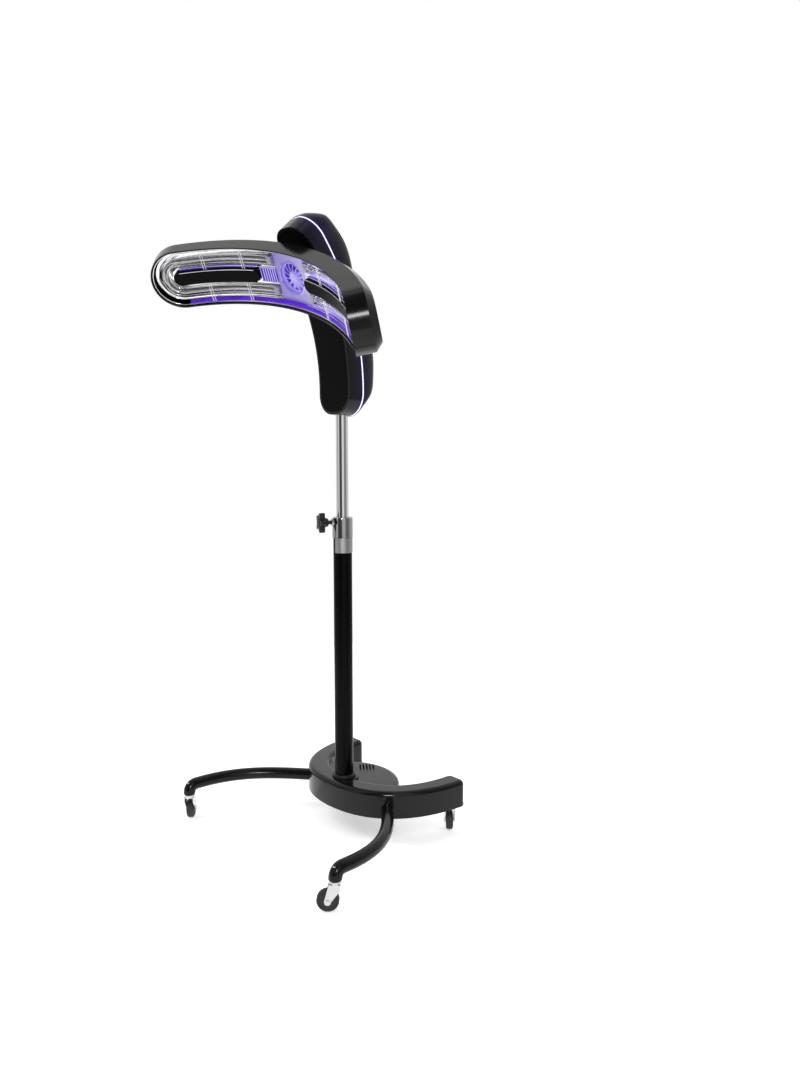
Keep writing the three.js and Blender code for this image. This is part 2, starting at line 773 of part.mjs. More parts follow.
// Turns a piece made along +Z to point out of the mast at the knob
function towardKnob(geometry) {
  return geometry.rotateX(Math.PI / 2).rotateZ(-KNOB_AZIMUTH).translate(0, 0, CLAMP_Z);
}

// Star knob moulded on its screw
function clampKnob() {
  const outline = [];
  const points = 6 * KNOB_LOBES;
  for (let k = 0; k < points; k += 1) {
    const angle = (k / points) * 2 * Math.PI;
    const radius = KNOB_RADIUS * (0.78 + 0.22 * Math.cos(KNOB_LOBES * angle));
    outline.push(new THREE.Vector2(radius * Math.cos(angle), radius * Math.sin(angle)));
  }
  const head = KNOB_REACH + 8;
  const star = prism(new THREE.Shape(outline), KNOB_DEPTH).translate(0, 0, head);
  const hub = turned([
    [0, KNOB_REACH],
    [SCREW_RADIUS + 4, KNOB_REACH],
    [SCREW_RADIUS + 7, head + 1],
    [SCREW_RADIUS + 7, head + KNOB_DEPTH],
    [SCREW_RADIUS + 4, head + KNOB_DEPTH + 2],
    [0, head + KNOB_DEPTH + 2],
  ], 12);
  const screw = rod(SCREW_RADIUS, TUBE_RADIUS + RUNNING, head, 8);
  return joined(...[star, hub, screw].map((form) => solid(towardKnob(form))));
}

function columnBand() {
  const inner = COLUMN_RADIUS + SEAT;
  const outer = inner + BAND_THICKNESS;
  const shape = new THREE.Shape();
  shape.absarc(0, 0, outer, BAND_OPENING / 2, 2 * Math.PI - BAND_OPENING / 2);
  shape.absarc(0, 0, inner, 2 * Math.PI - BAND_OPENING / 2, BAND_OPENING / 2, true);
  const high = COLUMN_TOP - COLLAR_SKIRT - SEAT;
  const band = prism(shape, BAND_HEIGHT, 10).rotateZ(BAND_TURN);
  return solid(band.translate(0, 0, high - BAND_HEIGHT));
}

function addMast(group) {
  const foot = PLATE_TOP + SEAT + SOCKET_FLOOR + SEAT;
  const ringLow = COVER_TOP + SEAT;
  const ringInner = COLUMN_RADIUS + SEAT;
  const footRing = turned([
    [ringInner, ringLow],
    [ringInner + FOOT_RING_WIDTH, ringLow],
    [ringInner + FOOT_RING_WIDTH, ringLow + FOOT_RING_HEIGHT - 3],
    [ringInner + FOOT_RING_WIDTH - 3, ringLow + FOOT_RING_HEIGHT],
    [ringInner, ringLow + FOOT_RING_HEIGHT],
    [ringInner, ringLow],
  ], 20);
  const bore = COLUMN_RADIUS - COLUMN_WALL;
  const guide = ring(TUBE_RADIUS + RUNNING, bore - SEAT, COLUMN_TOP - GUIDE_LENGTH, COLUMN_TOP, 16);
  place(group, 'column', solid(ring(bore, COLUMN_RADIUS, foot, COLUMN_TOP, 24)), black_paint());
  place(group, 'column_foot_ring', solid(footRing), gloss_black());
  place(group, 'column_guide_bush', solid(guide), nylon());
  place(group, 'clamp_collar', clampCollar(), chrome());
  place(group, 'column_band', columnBand(), aluminium());
  place(group, 'clamp_knob', clampKnob(), satin_black());
}

// Sliding tube and the plug that carries its lower end in the column
function addTube(group) {
  const bore = TUBE_RADIUS - TUBE_WALL;
  const top = HEAD_Z + TUBE_SOCKET_HEIGHT / 2;
  place(group, 'sliding_tube', solid(ring(bore, TUBE_RADIUS, TUBE_LOW, top, 24)), chrome());
  const plugOuter = COLUMN_RADIUS - COLUMN_WALL - RUNNING;
  const low = TUBE_LOW - PLUG_FLOOR;
  place(group, 'tube_foot_bush', solid(turned([
    [WIRE_BORE, low],
    [plugOuter, low],
    [plugOuter, low + PLUG_LENGTH],
    [TUBE_RADIUS + SEAT, low + PLUG_LENGTH],
    [TUBE_RADIUS + SEAT, TUBE_LOW - SEAT],
    [WIRE_BORE, TUBE_LOW - SEAT],
    [WIRE_BORE, low],
  ], 16)), nylon());
}

// Head: shells, light strip and tube socket, bent round the bow's centre

// Depth of the back shell along the bow: a waist between two lobes
function backDepth(along) {
  const share = THREE.MathUtils.clamp((along - BODY_LOW) / (BODY_HIGH - BODY_LOW), 0, 1);
  const lobes = new THREE.SplineCurve([
    new THREE.Vector2(0, LOBE_LOW * 0.45),
    new THREE.Vector2(0.12, LOBE_LOW * 0.85),
    new THREE.Vector2(0.3, LOBE_LOW),
    new THREE.Vector2(0.55, LOBE_WAIST),
    new THREE.Vector2(0.8, LOBE_TOP),
    new THREE.Vector2(0.93, LOBE_TOP * 0.85),
    new THREE.Vector2(1, LOBE_TOP * 0.45),
  ]);
  let [low, high] = [0, 1];
  for (let k = 0; k < 24; k += 1) {
    const middle = (low + high) / 2;
    if (lobes.getPoint(middle).x < share) low = middle;
    else high = middle;
  }
  return lobes.getPoint(low).y;
}

function bodyPill(layers, inset = 0, steps = 11) {
  return bowPill({
    radius: BODY_RADIUS,
    from: BODY_LOW + inset,
    to: BODY_HIGH - inset,
    width: BODY_WIDTH - 2 * inset,
    layers,
    steps,
  });
}

// Way for the sliding tube through the head's lower end
function tubeCut() {
  return solid(rod(TUBE_RADIUS + SEAT, 2 * BODY_LOW, 0, 20).translate(0, -HEAD_Y, 0));
}

function headFrontShell() {
  const skin = bodyPill([[4, 0], [1.2, 1.2], [0, 4], [0, FRONT_DEPTH]]);
  const hollow = bodyPill([[2, BODY_WALL], [0, BODY_WALL + 2], [0, FRONT_DEPTH + 1]], BODY_WALL);
  const hub = onOrbit(rod(HUB_BOSS_RADIUS + 1, BODY_RADIUS - 20, BODY_RADIUS + 20, 20));
  const pad = onOrbit(rod(MOTOR_RADIUS - 4, BODY_RADIUS, motorSeat(), 16));
  const level = motorLine();
  const boss = solid(pad.translate(0, 0, level).rotateX(ORBIT_TILT));
  const shell = without(solid(skin), solid(hollow));
  return without(joined(shell, boss), solid(hub.rotateX(ORBIT_TILT)), tubeCut());
}

function headBackShell() {
  const bulge = (share) => (along) => BACK_START + share * backDepth(along);
  const inner = (share) => (along) => BACK_START + share * (backDepth(along) - BODY_WALL);
  const skin = bodyPill([
    [0, BACK_START],
    [1.5, bulge(0.5)],
    [6, bulge(0.83)],
    [BACK_INSET, bulge(1)],
  ], 0, 13);
  const hollow = bodyPill([
    [0, BACK_START - 1],
    [0, BACK_START],
    [1.5, inner(0.5)],
    [6, inner(0.83)],
    [BACK_INSET, inner(1)],
  ], BODY_WALL, 13);
  return without(solid(skin), solid(hollow));
}

function lightStrip() {
  const outer = bodyPill([[0, SPLIT], [0, SPLIT + STRIP_THICKNESS]]);
  const inner = bodyPill([[0, SPLIT - 1], [0, SPLIT + STRIP_THICKNESS + 1]], STRIP_WIDTH);
  return without(solid(outer), solid(inner), tubeCut());
}

// Socket that grips the tube inside the front shell, with a foot on the front wall
function tubeSocket() {
  const stop = TUBE_SOCKET_HEIGHT / 2;
  const low = TUBE_SOCKET_ROOF - stop;
  const high = TUBE_SOCKET_ROOF + stop;
  const onMast = (form) => solid(form.translate(0, -HEAD_Y, 0));
  const sleeve = onMast(rod(TUBE_RADIUS + SEAT + TUBE_SOCKET_WALL, low, high, 18));
  const bore = onMast(rod(TUBE_RADIUS + SEAT, low - 1, stop + SEAT, 18));
  const wire = onMast(rod(WIRE_BORE, low, high + 1, 8));
  const foot = solid(bowStrip({
    radius: BODY_RADIUS,
    from: low + 2,
    to: high - 2,
    left: -SOCKET_FOOT / 2,
    right: SOCKET_FOOT / 2,
    near: BODY_WALL + SEAT,
    far: BODY_WALL + SEAT + SOCKET_FOOT_THICKNESS,
    steps: 4,
  }));
  return without(joined(sleeve, foot), bore, wire);
}

function addHead(group) {
  place(group, 'head_front_shell', headFrontShell(), gloss_black());
  place(group, 'head_back_shell', headBackShell(), gloss_black());
  place(group, 'light_strip', lightStrip(), violet_light());
  place(group, 'tube_socket', tubeSocket(), aluminium());
}

// Orbit drive, around the tilted axis: +Y is out of the bow, -Z is down the head
function motorLine() {
  return -(GEAR_TEETH + PINION_TEETH) * GEAR_MODULE / 2 - BACKLASH;
}

function motorSeat() {
  return BODY_RADIUS + BODY_WALL + MOTOR_PAD;
}

function gearPlane() {
  return BODY_RADIUS + BODY_WALL + SEAT + 2 * BEARING_WIDTH + 3 * HOUSING_LIP + 2;
}

function hubShaft() {
  const low = RIM_RADIUS + ARM_DEPTH + SEAT;
  const boss = BODY_RADIUS + BODY_WALL + SEAT + HOUSING_LIP - SEAT;
  const high = gearPlane() + GEAR_WIDTH + NUT_HEIGHT + 2;
  return solid(onOrbit(turned([
    [WIRE_BORE, low],
    [FLANGE_RADIUS, low],
    [FLANGE_RADIUS, low + FLANGE_THICKNESS],
    [HUB_BOSS_RADIUS, low + FLANGE_THICKNESS],
    [HUB_BOSS_RADIUS, boss],
    [SHAFT_RADIUS, boss],
    [SHAFT_RADIUS, high],
    [WIRE_BORE, high],
    [WIRE_BORE, low],
  ], 16)));
}

function bearingHousing() {
  const low = BODY_RADIUS + BODY_WALL + SEAT;
  const seat = BEARING_RADIUS + SEAT;
  const front = low + HOUSING_LIP;
  const middle = front + BEARING_WIDTH + SEAT;
  const rear = middle + HOUSING_LIP;
  const high = rear + BEARING_WIDTH;
  const lip = HUB_BOSS_RADIUS + 1;
  return solid(onOrbit(turned([
    [seat, low],
    [HOUSING_RADIUS + 4, low],
    [HOUSING_RADIUS + 4, low + HOUSING_LIP],
    [HOUSING_RADIUS, low + HOUSING_LIP],
    [HOUSING_RADIUS, high],
    [seat, high],
    [seat, rear],
    [lip, rear],
    [lip, middle],
    [seat, middle],
    [seat, low],
  ], 16)));
}

function bearing(low) {
  return solid(onOrbit(ring(SHAFT_RADIUS + SEAT, BEARING_RADIUS, low, low + BEARING_WIDTH, 16)));
}

function toothed(teeth, turn) {
  const pitch = teeth * GEAR_MODULE / 2;
  const tip = pitch + 0.9 * GEAR_MODULE;
  const root = pitch - 1.25 * GEAR_MODULE;
  const half = Math.PI / teeth;
  const slack = BACKLASH / pitch / 2;
  const outline = [];
  for (let k = 0; k < teeth; k += 1) {
    const middle = 2 * half * k + turn;
    const corners = [
      [root, -0.72 * half],
      [tip, -0.3 * half + slack],
      [tip, 0.3 * half - slack],
      [root, 0.72 * half],
    ];
    for (const [radius, offset] of corners) {
      const angle = middle + offset;
      outline.push(new THREE.Vector2(radius * Math.cos(angle), radius * Math.sin(angle)));
    }
  }
  return prism(new THREE.Shape(outline), GEAR_WIDTH);
}

function orbitGear() {
  const low = gearPlane();
  const meshed = Math.PI / 2 + ORBIT_REST;
  const wheel = solid(onOrbit(toothed(GEAR_TEETH, meshed).translate(0, 0, low)));
  const hub = solid(onOrbit(rod(SHAFT_RADIUS + 5, low - 1.5, low + GEAR_WIDTH, 12)));
  const bore = solid(onOrbit(hole(SHAFT_RADIUS + SEAT, low - 5, low + GEAR_WIDTH + 5, 12)));
  return without(joined(wheel, hub), bore);
}

function orbitPinion() {
  const low = gearPlane();
  const half = Math.PI / PINION_TEETH;
  const wheel = toothed(PINION_TEETH, -Math.PI / 2 + half).translate(0, 0, low);
  const foot = motorSeat() + SEAT + MOTOR_LENGTH + SEAT;
  const hub = rod(MOTOR_SHAFT + 3, foot, low + 1, 10);
  const bore = hole(MOTOR_SHAFT + SEAT, foot - 1, low + GEAR_WIDTH + 1, 8);
  const parts = [wheel, hub, bore].map((form) => solid(onOrbit(form).translate(0, 0, motorLine())));
  return without(joined(parts[0], parts[1]), parts[2]);
}

function orbitMotor() {
  const low = motorSeat() + SEAT;
  const high = low + MOTOR_LENGTH;
  const motor = turned([
    [0, low],
    [MOTOR_RADIUS - 1, low],
    [MOTOR_RADIUS, low + 1],
    [MOTOR_RADIUS, high - 1],
    [MOTOR_RADIUS - 1, high],
    [MOTOR_SHAFT, high],
    [MOTOR_SHAFT, gearPlane() + GEAR_WIDTH + 1],
    [0, gearPlane() + GEAR_WIDTH + 1],
  ], 14);
  return solid(onOrbit(motor).translate(0, 0, motorLine()));
}

function shaftNut() {
  const low = gearPlane() + GEAR_WIDTH + SEAT;
  const nut = onOrbit(prism(polygon(NUT_RADIUS, 6), NUT_HEIGHT).translate(0, 0, low));
  const bore = onOrbit(hole(SHAFT_RADIUS + SEAT, low - 1, low + NUT_HEIGHT + 1, 12));
  return without(solid(nut), solid(bore));
}

function addDrive(tilted) {
  const firstBearing = BODY_RADIUS + BODY_WALL + SEAT + HOUSING_LIP;
  const secondBearing = firstBearing + BEARING_WIDTH + SEAT + HOUSING_LIP + SEAT;
  place(tilted, 'bearing_housing', bearingHousing(), aluminium());
  place(tilted, 'front_bearing', bearing(firstBearing), steel());
  place(tilted, 'rear_bearing', bearing(secondBearing), steel());
  place(tilted, 'orbit_motor', orbitMotor(), steel());
  place(tilted, 'orbit_pinion', orbitPinion(), nylon());
}

// Controls on the back of the head

// A piece made along +Z, set out along the bow's own direction at a place on the back
function onBack(form, along, across) {
  const angle = along / BODY_RADIUS;
  const surface = BODY_RADIUS + BACK_START + backDepth(along);
  return onOrbit(form.translate(across, 0, surface)).rotateX(angle);
}

function buttonPlaces() {
  const places = { power_button: [POWER_BUTTON_AT, 0] };
  const [lower, upper] = BUTTON_ROWS;
  places.start_button = [lower, 0];
  places.time_up_button = [upper, BUTTON_COLUMN];
  places.time_down_button = [upper, -BUTTON_COLUMN];
  return places;
}

function controlPanel() {
  const depth = (extra) => (along) => BACK_START + backDepth(along) + extra;
  const size = { radius: BODY_RADIUS, from: PANEL_FROM, to: PANEL_TO, width: PANEL_WIDTH };
  const layers = [[0, depth(SEAT)], [0, depth(PANEL_THICKNESS - 1)], [1, depth(PANEL_THICKNESS)]];
  const plate = solid(bowPill({ ...size, layers, steps: 6 }));
  const holes = Object.values(buttonPlaces()).map(([along, across]) => (
    solid(onBack(rod(BUTTON_RADIUS + SEAT, -4, PANEL_THICKNESS + 4, 12), along, across))
  ));
  return without(plate, displayForm(SEAT, -2, PANEL_THICKNESS + 4), ...holes);
}

function displayForm(grow, low, high) {
  const depth = (extra) => (along) => BACK_START + backDepth(along) + extra;
  return solid(bowPill({
    radius: BODY_RADIUS,
    from: DISPLAY_FROM - grow,
    to: DISPLAY_TO + grow,
    width: DISPLAY_WIDTH - 8 + 2 * grow,
    layers: [[0, depth(low)], [0, depth(high)]],
    steps: 2,
    endSteps: 4,
  }));
}

function button() {
  const low = BUTTON_TRAVEL + BUTTON_CLEARANCE;
  const high = PANEL_THICKNESS + BUTTON_RISE;
  return turned([
    [0, low],
    [BUTTON_RADIUS, low],
    [BUTTON_RADIUS, high - 0.8],
    [BUTTON_RADIUS - 0.8, high],
    [0, high],
  ], 12);
}

// Circuit board behind the front wall, with a relay and a power module on it
function controlBoard() {
  const [width, thickness, length] = BOARD_SIZE;
  const low = BODY_RADIUS + BODY_WALL + SEAT;
  const board = block([width, thickness, length], [0, low + thickness / 2, 0]);
  const relay = block(RELAY_SIZE, [width / 5, low + RELAY_SIZE[1] / 2, length / 5]);
  const module = block(MODULE_SIZE, [-width / 5, low + MODULE_SIZE[1] / 2, -length / 5]);
  const turn = BOARD_AT / BODY_RADIUS;
  return joined(...[board, relay, module].map((form) => solid(form.rotateX(turn))));
}

function addControls(group) {
  place(group, 'control_panel', controlPanel(), satin_black());
  place(group, 'display_window', displayForm(0, SEAT, PANEL_THICKNESS - 0.6), glass());
  place(group, 'control_board', controlBoard(), board_green());
  for (const [name, [along, across]] of Object.entries(buttonPlaces())) {
    place(group, name, solid(onBack(button(), along, across)), satin_black());
  }
}

// Lamp arm
function armPill(layers, inset, steps = 16) {
  return bowPill({
    radius: RIM_RADIUS,
    from: -ARM_HALF + inset,
    to: ARM_HALF - inset,
    width: ARM_WIDTH - 2 * inset,
    layers,
    steps,
    endSteps: 5,
  });
}

function armShell() {
  const skin = armPill([[1, 0], [0, 1], [0, ARM_DEPTH - ARM_CHAMFER], [ARM_CHAMFER, ARM_DEPTH]], 0);
  const wall = ARM_WALL * Math.tan(22.5 * DEG);
  const hollow = armPill([
    [0, -1],
    [0, ARM_DEPTH - ARM_CHAMFER - wall],
    [ARM_CHAMFER + wall - ARM_WALL, ARM_DEPTH - ARM_WALL],
  ], ARM_WALL);
  const wire = onOrbit(rod(WIRE_BORE, RIM_RADIUS, BODY_RADIUS, 14));
  return without(solid(skin), solid(hollow), solid(wire));
}

// Route of one lamp: out along one side, round the end of the arm and back
function loopRoute(start, side, spread, steps) {
  const route = [];
  const add = (along, across) => route.push(new THREE.Vector2(side * along, side * across));
  for (let k = 0; k < steps; k += 1) add(start + (END_CENTRE - start) * (k / steps), -spread);
  for (let k = 0; k <= steps; k += 1) {
    const turn = 180 * DEG * (k / steps) - 90 * DEG;
    add(END_CENTRE + spread * Math.cos(turn), spread * Math.sin(turn));
  }
  for (let k = steps - 1; k >= 0; k -= 1) add(start + (END_CENTRE - start) * (k / steps), spread);
  return route;
}

function roundSection(radius, depth, sides) {
  return polygon(radius, sides).getPoints().slice(0, sides).map(({ x, y }) => [x, y + depth]);
}

// How far past a half circle the trough's round runs before it meets the face
function troughLift(radius) {
  return Math.asin((TROUGH_DEPTH - FACE_DEPTH) / radius);
}

// Pressed reflector: a round trough that runs with the lamp, with flat lips
function reflector(side) {
  const arc = (radius, reverse) => {
    const lift = troughLift(radius);
    const points = [];
    for (let k = 0; k <= TROUGH_FACETS; k += 1) {
      const share = (reverse ? TROUGH_FACETS - k : k) / TROUGH_FACETS;
      const turn = Math.PI + lift - (Math.PI + 2 * lift) * share;
      points.push([radius * Math.cos(turn), TROUGH_DEPTH + radius * Math.sin(turn)]);
    }
    return points;
  };
  const lip = REFLECTOR_WIDTH / 2 - LAMP_SPREAD;
  const middle = LAMP_SPREAD - ISLAND_WIDTH / 6;
  const section = [
    [-lip, FACE_DEPTH],
    ...arc(TROUGH_RADIUS, false),
    [middle, FACE_DEPTH],
    [middle, FACE_DEPTH + SHEET],
    ...arc(TROUGH_RADIUS + SHEET, true).slice(1, -1),
    [-lip, FACE_DEPTH + SHEET],
  ];
  return solid(bowSweep(RIM_RADIUS, loopRoute(FAN_ZONE + SEAT, side, LAMP_SPREAD, 7), section));
}

function lamp(side) {
  const route = loopRoute(FAN_ZONE + 4 + HOLDER_LENGTH + SEAT, side, LAMP_SPREAD, 7);
  return solid(bowSweep(RIM_RADIUS, route, roundSection(LAMP_RADIUS, LAMP_DEPTH, 8)));
}

// Ceramic block that holds one end of a lamp, standing in the trough
function lampHolder(side, across) {
  const facet = (Math.PI + 2 * troughLift(TROUGH_RADIUS)) / TROUGH_FACETS;
  const reach = Math.sqrt((TROUGH_RADIUS * Math.cos(facet / 2)) ** 2 - (HOLDER_WIDTH / 2) ** 2);
  const from = FAN_ZONE + 4;
  const ends = side > 0 ? [from, from + HOLDER_LENGTH] : [-from - HOLDER_LENGTH, -from];
  return solid(bowStrip({
    radius: RIM_RADIUS,
    from: ends[0],
    to: ends[1],
    left: across - HOLDER_WIDTH / 2,
    right: across + HOLDER_WIDTH / 2,
    near: LAMP_DEPTH - LAMP_RADIUS - 1,
    far: TROUGH_DEPTH + reach - SEAT,
    steps: 2,
  }));
}

// Dark bar that fills the middle of a lamp's loop
function island(side) {
  const near = side > 0 ? FAN_ZONE + 1 + VENT_GRILLE_LENGTH + SEAT : FAN_ZONE + 6;
  const far = END_CENTRE + ISLAND_WIDTH / 2;
  return solid(bowPill({
    radius: RIM_RADIUS,
    from: side > 0 ? near : -far,
    to: side > 0 ? far : -near,
    width: ISLAND_WIDTH,
    layers: [[3, ISLAND_TOP], [0, ISLAND_TOP + 3], [0, FACE_DEPTH - SEAT]],
    steps: 7,
    endSteps: 4,
  }));
}

// Slatted outlet between the fan and the left island
function ventGrille() {
  const from = FAN_ZONE + 1;
  const to = from + VENT_GRILLE_LENGTH;
  const frame = solid(bowStrip({
    radius: RIM_RADIUS,
    left: -ISLAND_WIDTH / 2,
    right: ISLAND_WIDTH / 2,
    from,
    to,
    near: FACE_DEPTH - GRILLE_HEIGHT,
    far: FACE_DEPTH - SEAT,
    steps: 4,
  }));
  const pitch = VENT_GRILLE_LENGTH / SLAT_COUNT;
  const slots = [];
  for (let k = 0; k < SLAT_COUNT; k += 1) {
    const start = from + (k + 0.25) * pitch;
    slots.push(solid(bowStrip({
      radius: RIM_RADIUS,
      left: -ISLAND_WIDTH / 2 + 2,
      right: ISLAND_WIDTH / 2 - 2,
      from: start,
      to: start + pitch / 2,
      near: FACE_DEPTH - GRILLE_HEIGHT - 1,
      far: FACE_DEPTH - 1.5,
      steps: 1,
    })));
  }
  return without(frame, ...slots);
}

// Middle plate with the fan's duct, standing on the back of the arm
function fanDuct() {
  const half = REFLECTOR_WIDTH / 2;
  const plate = solid(bowStrip({
    radius: RIM_RADIUS,
    from: -FAN_ZONE,
    to: FAN_ZONE,
    left: -half,
    right: half,
    near: FACE_DEPTH,
    far: FACE_DEPTH + 2,
    steps: 8,
  }));
  const bore = FAN_RADIUS + 2;
  const floor = RIM_RADIUS + ARM_DEPTH - ARM_WALL - SEAT;
  const edge = Math.sqrt(floor ** 2 - (bore + 2) ** 2);
  const tube = solid(onOrbit(rod(bore + 2, RIM_RADIUS + FACE_DEPTH, edge, 20)));
  const duct = solid(onOrbit(rod(bore, RIM_RADIUS - 5, floor + 5, 20)));
  return without(joined(plate, tube), duct);
}

function fanLow() {
  return RIM_RADIUS + FACE_DEPTH + 1;
}

function fanImpeller() {
  const low = fanLow();
  const high = low + FAN_DEPTH;
  const hub = turned([
    [0, low - 1],
    [8, low - 1],
    [11, low + 1],
    [11, high],
    [0, high],
  ], 14);
  const vane = new THREE.Shape();
  vane.moveTo(9, -1);
  vane.quadraticCurveTo(20, 0, FAN_RADIUS, 8);
  vane.lineTo(FAN_RADIUS - 0.6, 9.4);
  vane.quadraticCurveTo(19, 1.8, 9, 1);
  const blades = [];
  for (let k = 0; k < FAN_BLADES; k += 1) {
    const blade = prism(vane, FAN_DEPTH - 2, 3).translate(0, 0, low + 1);
    blades.push(blade.rotateZ(2 * Math.PI * (k / FAN_BLADES)));
  }
  const bore = onOrbit(hole(FAN_SHAFT + RUNNING, low + 3, high + 1, 8));
  const wheel = joined(...[hub, ...blades].map((form) => solid(onOrbit(form))));
  return without(wheel, solid(bore));
}

function fanMotor() {
  const low = fanLow() + FAN_DEPTH + 1;
  const high = RIM_RADIUS + ARM_DEPTH - ARM_WALL - SEAT;
  return solid(onOrbit(turned([
    [0, fanLow() + 4],
    [FAN_SHAFT, fanLow() + 4],
    [FAN_SHAFT, low],
    [FAN_MOTOR_RADIUS - 1, low],
    [FAN_MOTOR_RADIUS, low + 1],
    [FAN_MOTOR_RADIUS, high - SEAT],
    [0, high - SEAT],
  ], 14)));
}

// Wire guard: a rail round the rim with stays across the lamp runs
function wireGuard() {
  const rail = ARM_WIDTH / 2 - ARM_WALL - GUARD_GAP - GUARD_WIRE;
  const inner = ISLAND_WIDTH / 2 + SEAT;
  const section = roundSection(GUARD_WIRE, GUARD_DEPTH, 5);
  const wire = (route, closed) => solid(bowSweep(RIM_RADIUS, route, section, closed));
  const half = loopRoute(0, 1, rail, 9);
  const around = [...half, ...loopRoute(0, -1, rail, 9).slice(1)];
  const stay = (along, across, toAlong, toAcross) => (
    wire([new THREE.Vector2(along, across), new THREE.Vector2(toAlong, toAcross)], false)
  );
  const parts = [wire(around, true)];
  for (const side of [-1, 1]) {
    for (const station of GUARD_STATIONS) {
      parts.push(stay(side * station, rail, side * station, inner));
      parts.push(stay(side * station, -rail, side * station, -inner));
    }
    parts.push(stay(side * (END_CENTRE + rail), 0, side * (END_CENTRE + inner), 0));
  }
  return joined(...parts);
}

function ledStrip(edge) {
  const outer = ARM_WIDTH / 2 - ARM_WALL - SEAT;
  const sides = [edge * (outer - LED_WIDTH), edge * outer].sort((a, b) => a - b);
  return solid(bowStrip({
    radius: RIM_RADIUS,
    from: -END_CENTRE,
    to: END_CENTRE,
    left: sides[0],
    right: sides[1],
    near: FACE_DEPTH,
    far: FACE_DEPTH + LED_THICKNESS,
    steps: 14,
  }));
}

function addArm(orbiting) {
  place(orbiting, 'arm_shell', armShell(), gloss_black());
  place(orbiting, 'hub_shaft', hubShaft(), steel());
  place(orbiting, 'orbit_gear', orbitGear(), nylon());
  place(orbiting, 'shaft_nut', shaftNut(), steel());
  for (const [name, side] of [['left', 1], ['right', -1]]) {
    place(orbiting, `${name}_reflector`, reflector(side), chrome());
    place(orbiting, `${name}_lamp`, lamp(side), glass());
    place(orbiting, `${name}_island`, island(side), gloss_black());
    place(orbiting, `${name}_upper_lamp_holder`, lampHolder(side, LAMP_SPREAD), nylon());
    place(orbiting, `${name}_lower_lamp_holder`, lampHolder(side, -LAMP_SPREAD), nylon());
  }
  place(orbiting, 'vent_grille', ventGrille(), satin_black());
  place(orbiting, 'fan_duct', fanDuct(), aluminium());
  place(orbiting, 'fan_motor', fanMotor(), satin_black());
  place(orbiting, 'fan_impeller', fanImpeller(), violet_light());
  place(orbiting, 'wire_guard', wireGuard(), chrome());
  place(orbiting, 'upper_led_strip', ledStrip(1), violet_light());
  place(orbiting, 'lower_led_strip', ledStrip(-1), violet_light());
}

// Assembly
const stand = new THREE.Group();
addBase(stand);
addCasters(stand);
addMast(stand);
addTube(stand);

const head = new THREE.Group();
head.position.set(0, HEAD_Y, HEAD_Z);
stand.add(head);
addHead(head);
addControls(head);

const tilted = new THREE.Group();
tilted.rotation.x = ORBIT_TILT;
head.add(tilted);
addDrive(tilted);

const orbiting = new THREE.Group();
orbiting.rotation.y = -ORBIT_REST;
tilted.add(orbiting);
addArm(orbiting);

// The origin is on the floor, under the middle of the whole processor
const processor = new THREE.Group();
processor.add(stand);
processor.updateMatrixWorld(true);
const extent = new THREE.Box3().setFromObject(processor, true);
const middle = extent.getCenter(new THREE.Vector3());
stand.position.set(-middle.x, -middle.y, -extent.min.z);
processor.updateMatrixWorld(true);

export default processor;
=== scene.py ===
"""Looks of a hair colour processor: gloss black mouldings, chrome and violet light.

Sizes are in millimetres, measured from the mast's axis on the floor, and each piece is moved
into the frame as it is placed. The lamp arm and the head are modelled flat, standing on end
with X across, Y deep and Z along, and are then bent round their bow.
"""
import math

import bmesh
import bpy
from mathutils import Matrix, Vector


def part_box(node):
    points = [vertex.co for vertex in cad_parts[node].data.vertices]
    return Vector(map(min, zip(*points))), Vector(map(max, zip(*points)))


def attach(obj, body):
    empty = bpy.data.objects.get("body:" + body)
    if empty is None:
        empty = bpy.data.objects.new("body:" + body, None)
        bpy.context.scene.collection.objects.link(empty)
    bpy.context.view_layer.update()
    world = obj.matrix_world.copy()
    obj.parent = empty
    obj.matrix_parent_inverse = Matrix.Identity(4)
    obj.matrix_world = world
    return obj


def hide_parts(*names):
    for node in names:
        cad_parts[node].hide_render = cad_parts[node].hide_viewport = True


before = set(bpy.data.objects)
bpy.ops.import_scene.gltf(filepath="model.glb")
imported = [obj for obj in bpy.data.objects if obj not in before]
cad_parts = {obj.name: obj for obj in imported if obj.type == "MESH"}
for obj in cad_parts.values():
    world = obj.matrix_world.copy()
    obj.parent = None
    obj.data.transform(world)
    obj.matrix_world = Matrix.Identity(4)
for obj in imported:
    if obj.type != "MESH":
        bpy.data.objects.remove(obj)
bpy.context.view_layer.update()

MM = 0.001
TURN = 2 * math.pi

# Where things stand
COLUMN_LOW, COLUMN_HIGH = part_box("column")
MAST = Vector(((COLUMN_LOW.x + COLUMN_HIGH.x) / 2, (COLUMN_LOW.y + COLUMN_HIGH.y) / 2, 0))
STAND = Matrix.Translation(MAST)
BOW_CENTRE = Vector((0, -457.5, 904)) * MM
ORBIT_TILT = math.radians(31.4)
ORBIT_REST = math.radians(72.6)
HEAD = Matrix.Translation(MAST + BOW_CENTRE)
TILTED = HEAD @ Matrix.Rotation(ORBIT_TILT, 4, "X")
ARM = TILTED @ Matrix.Rotation(-ORBIT_REST, 4, "Y")
# Lays a spun piece's axis along Y, away from the bow's centre
SPOKE = Matrix.Rotation(-math.pi / 2, 4, "X")
# Swaps Y and Z
UPENDED = Matrix(((1, 0, 0, 0), (0, 0, 1, 0), (0, 1, 0, 0), (0, 0, 0, 1)))

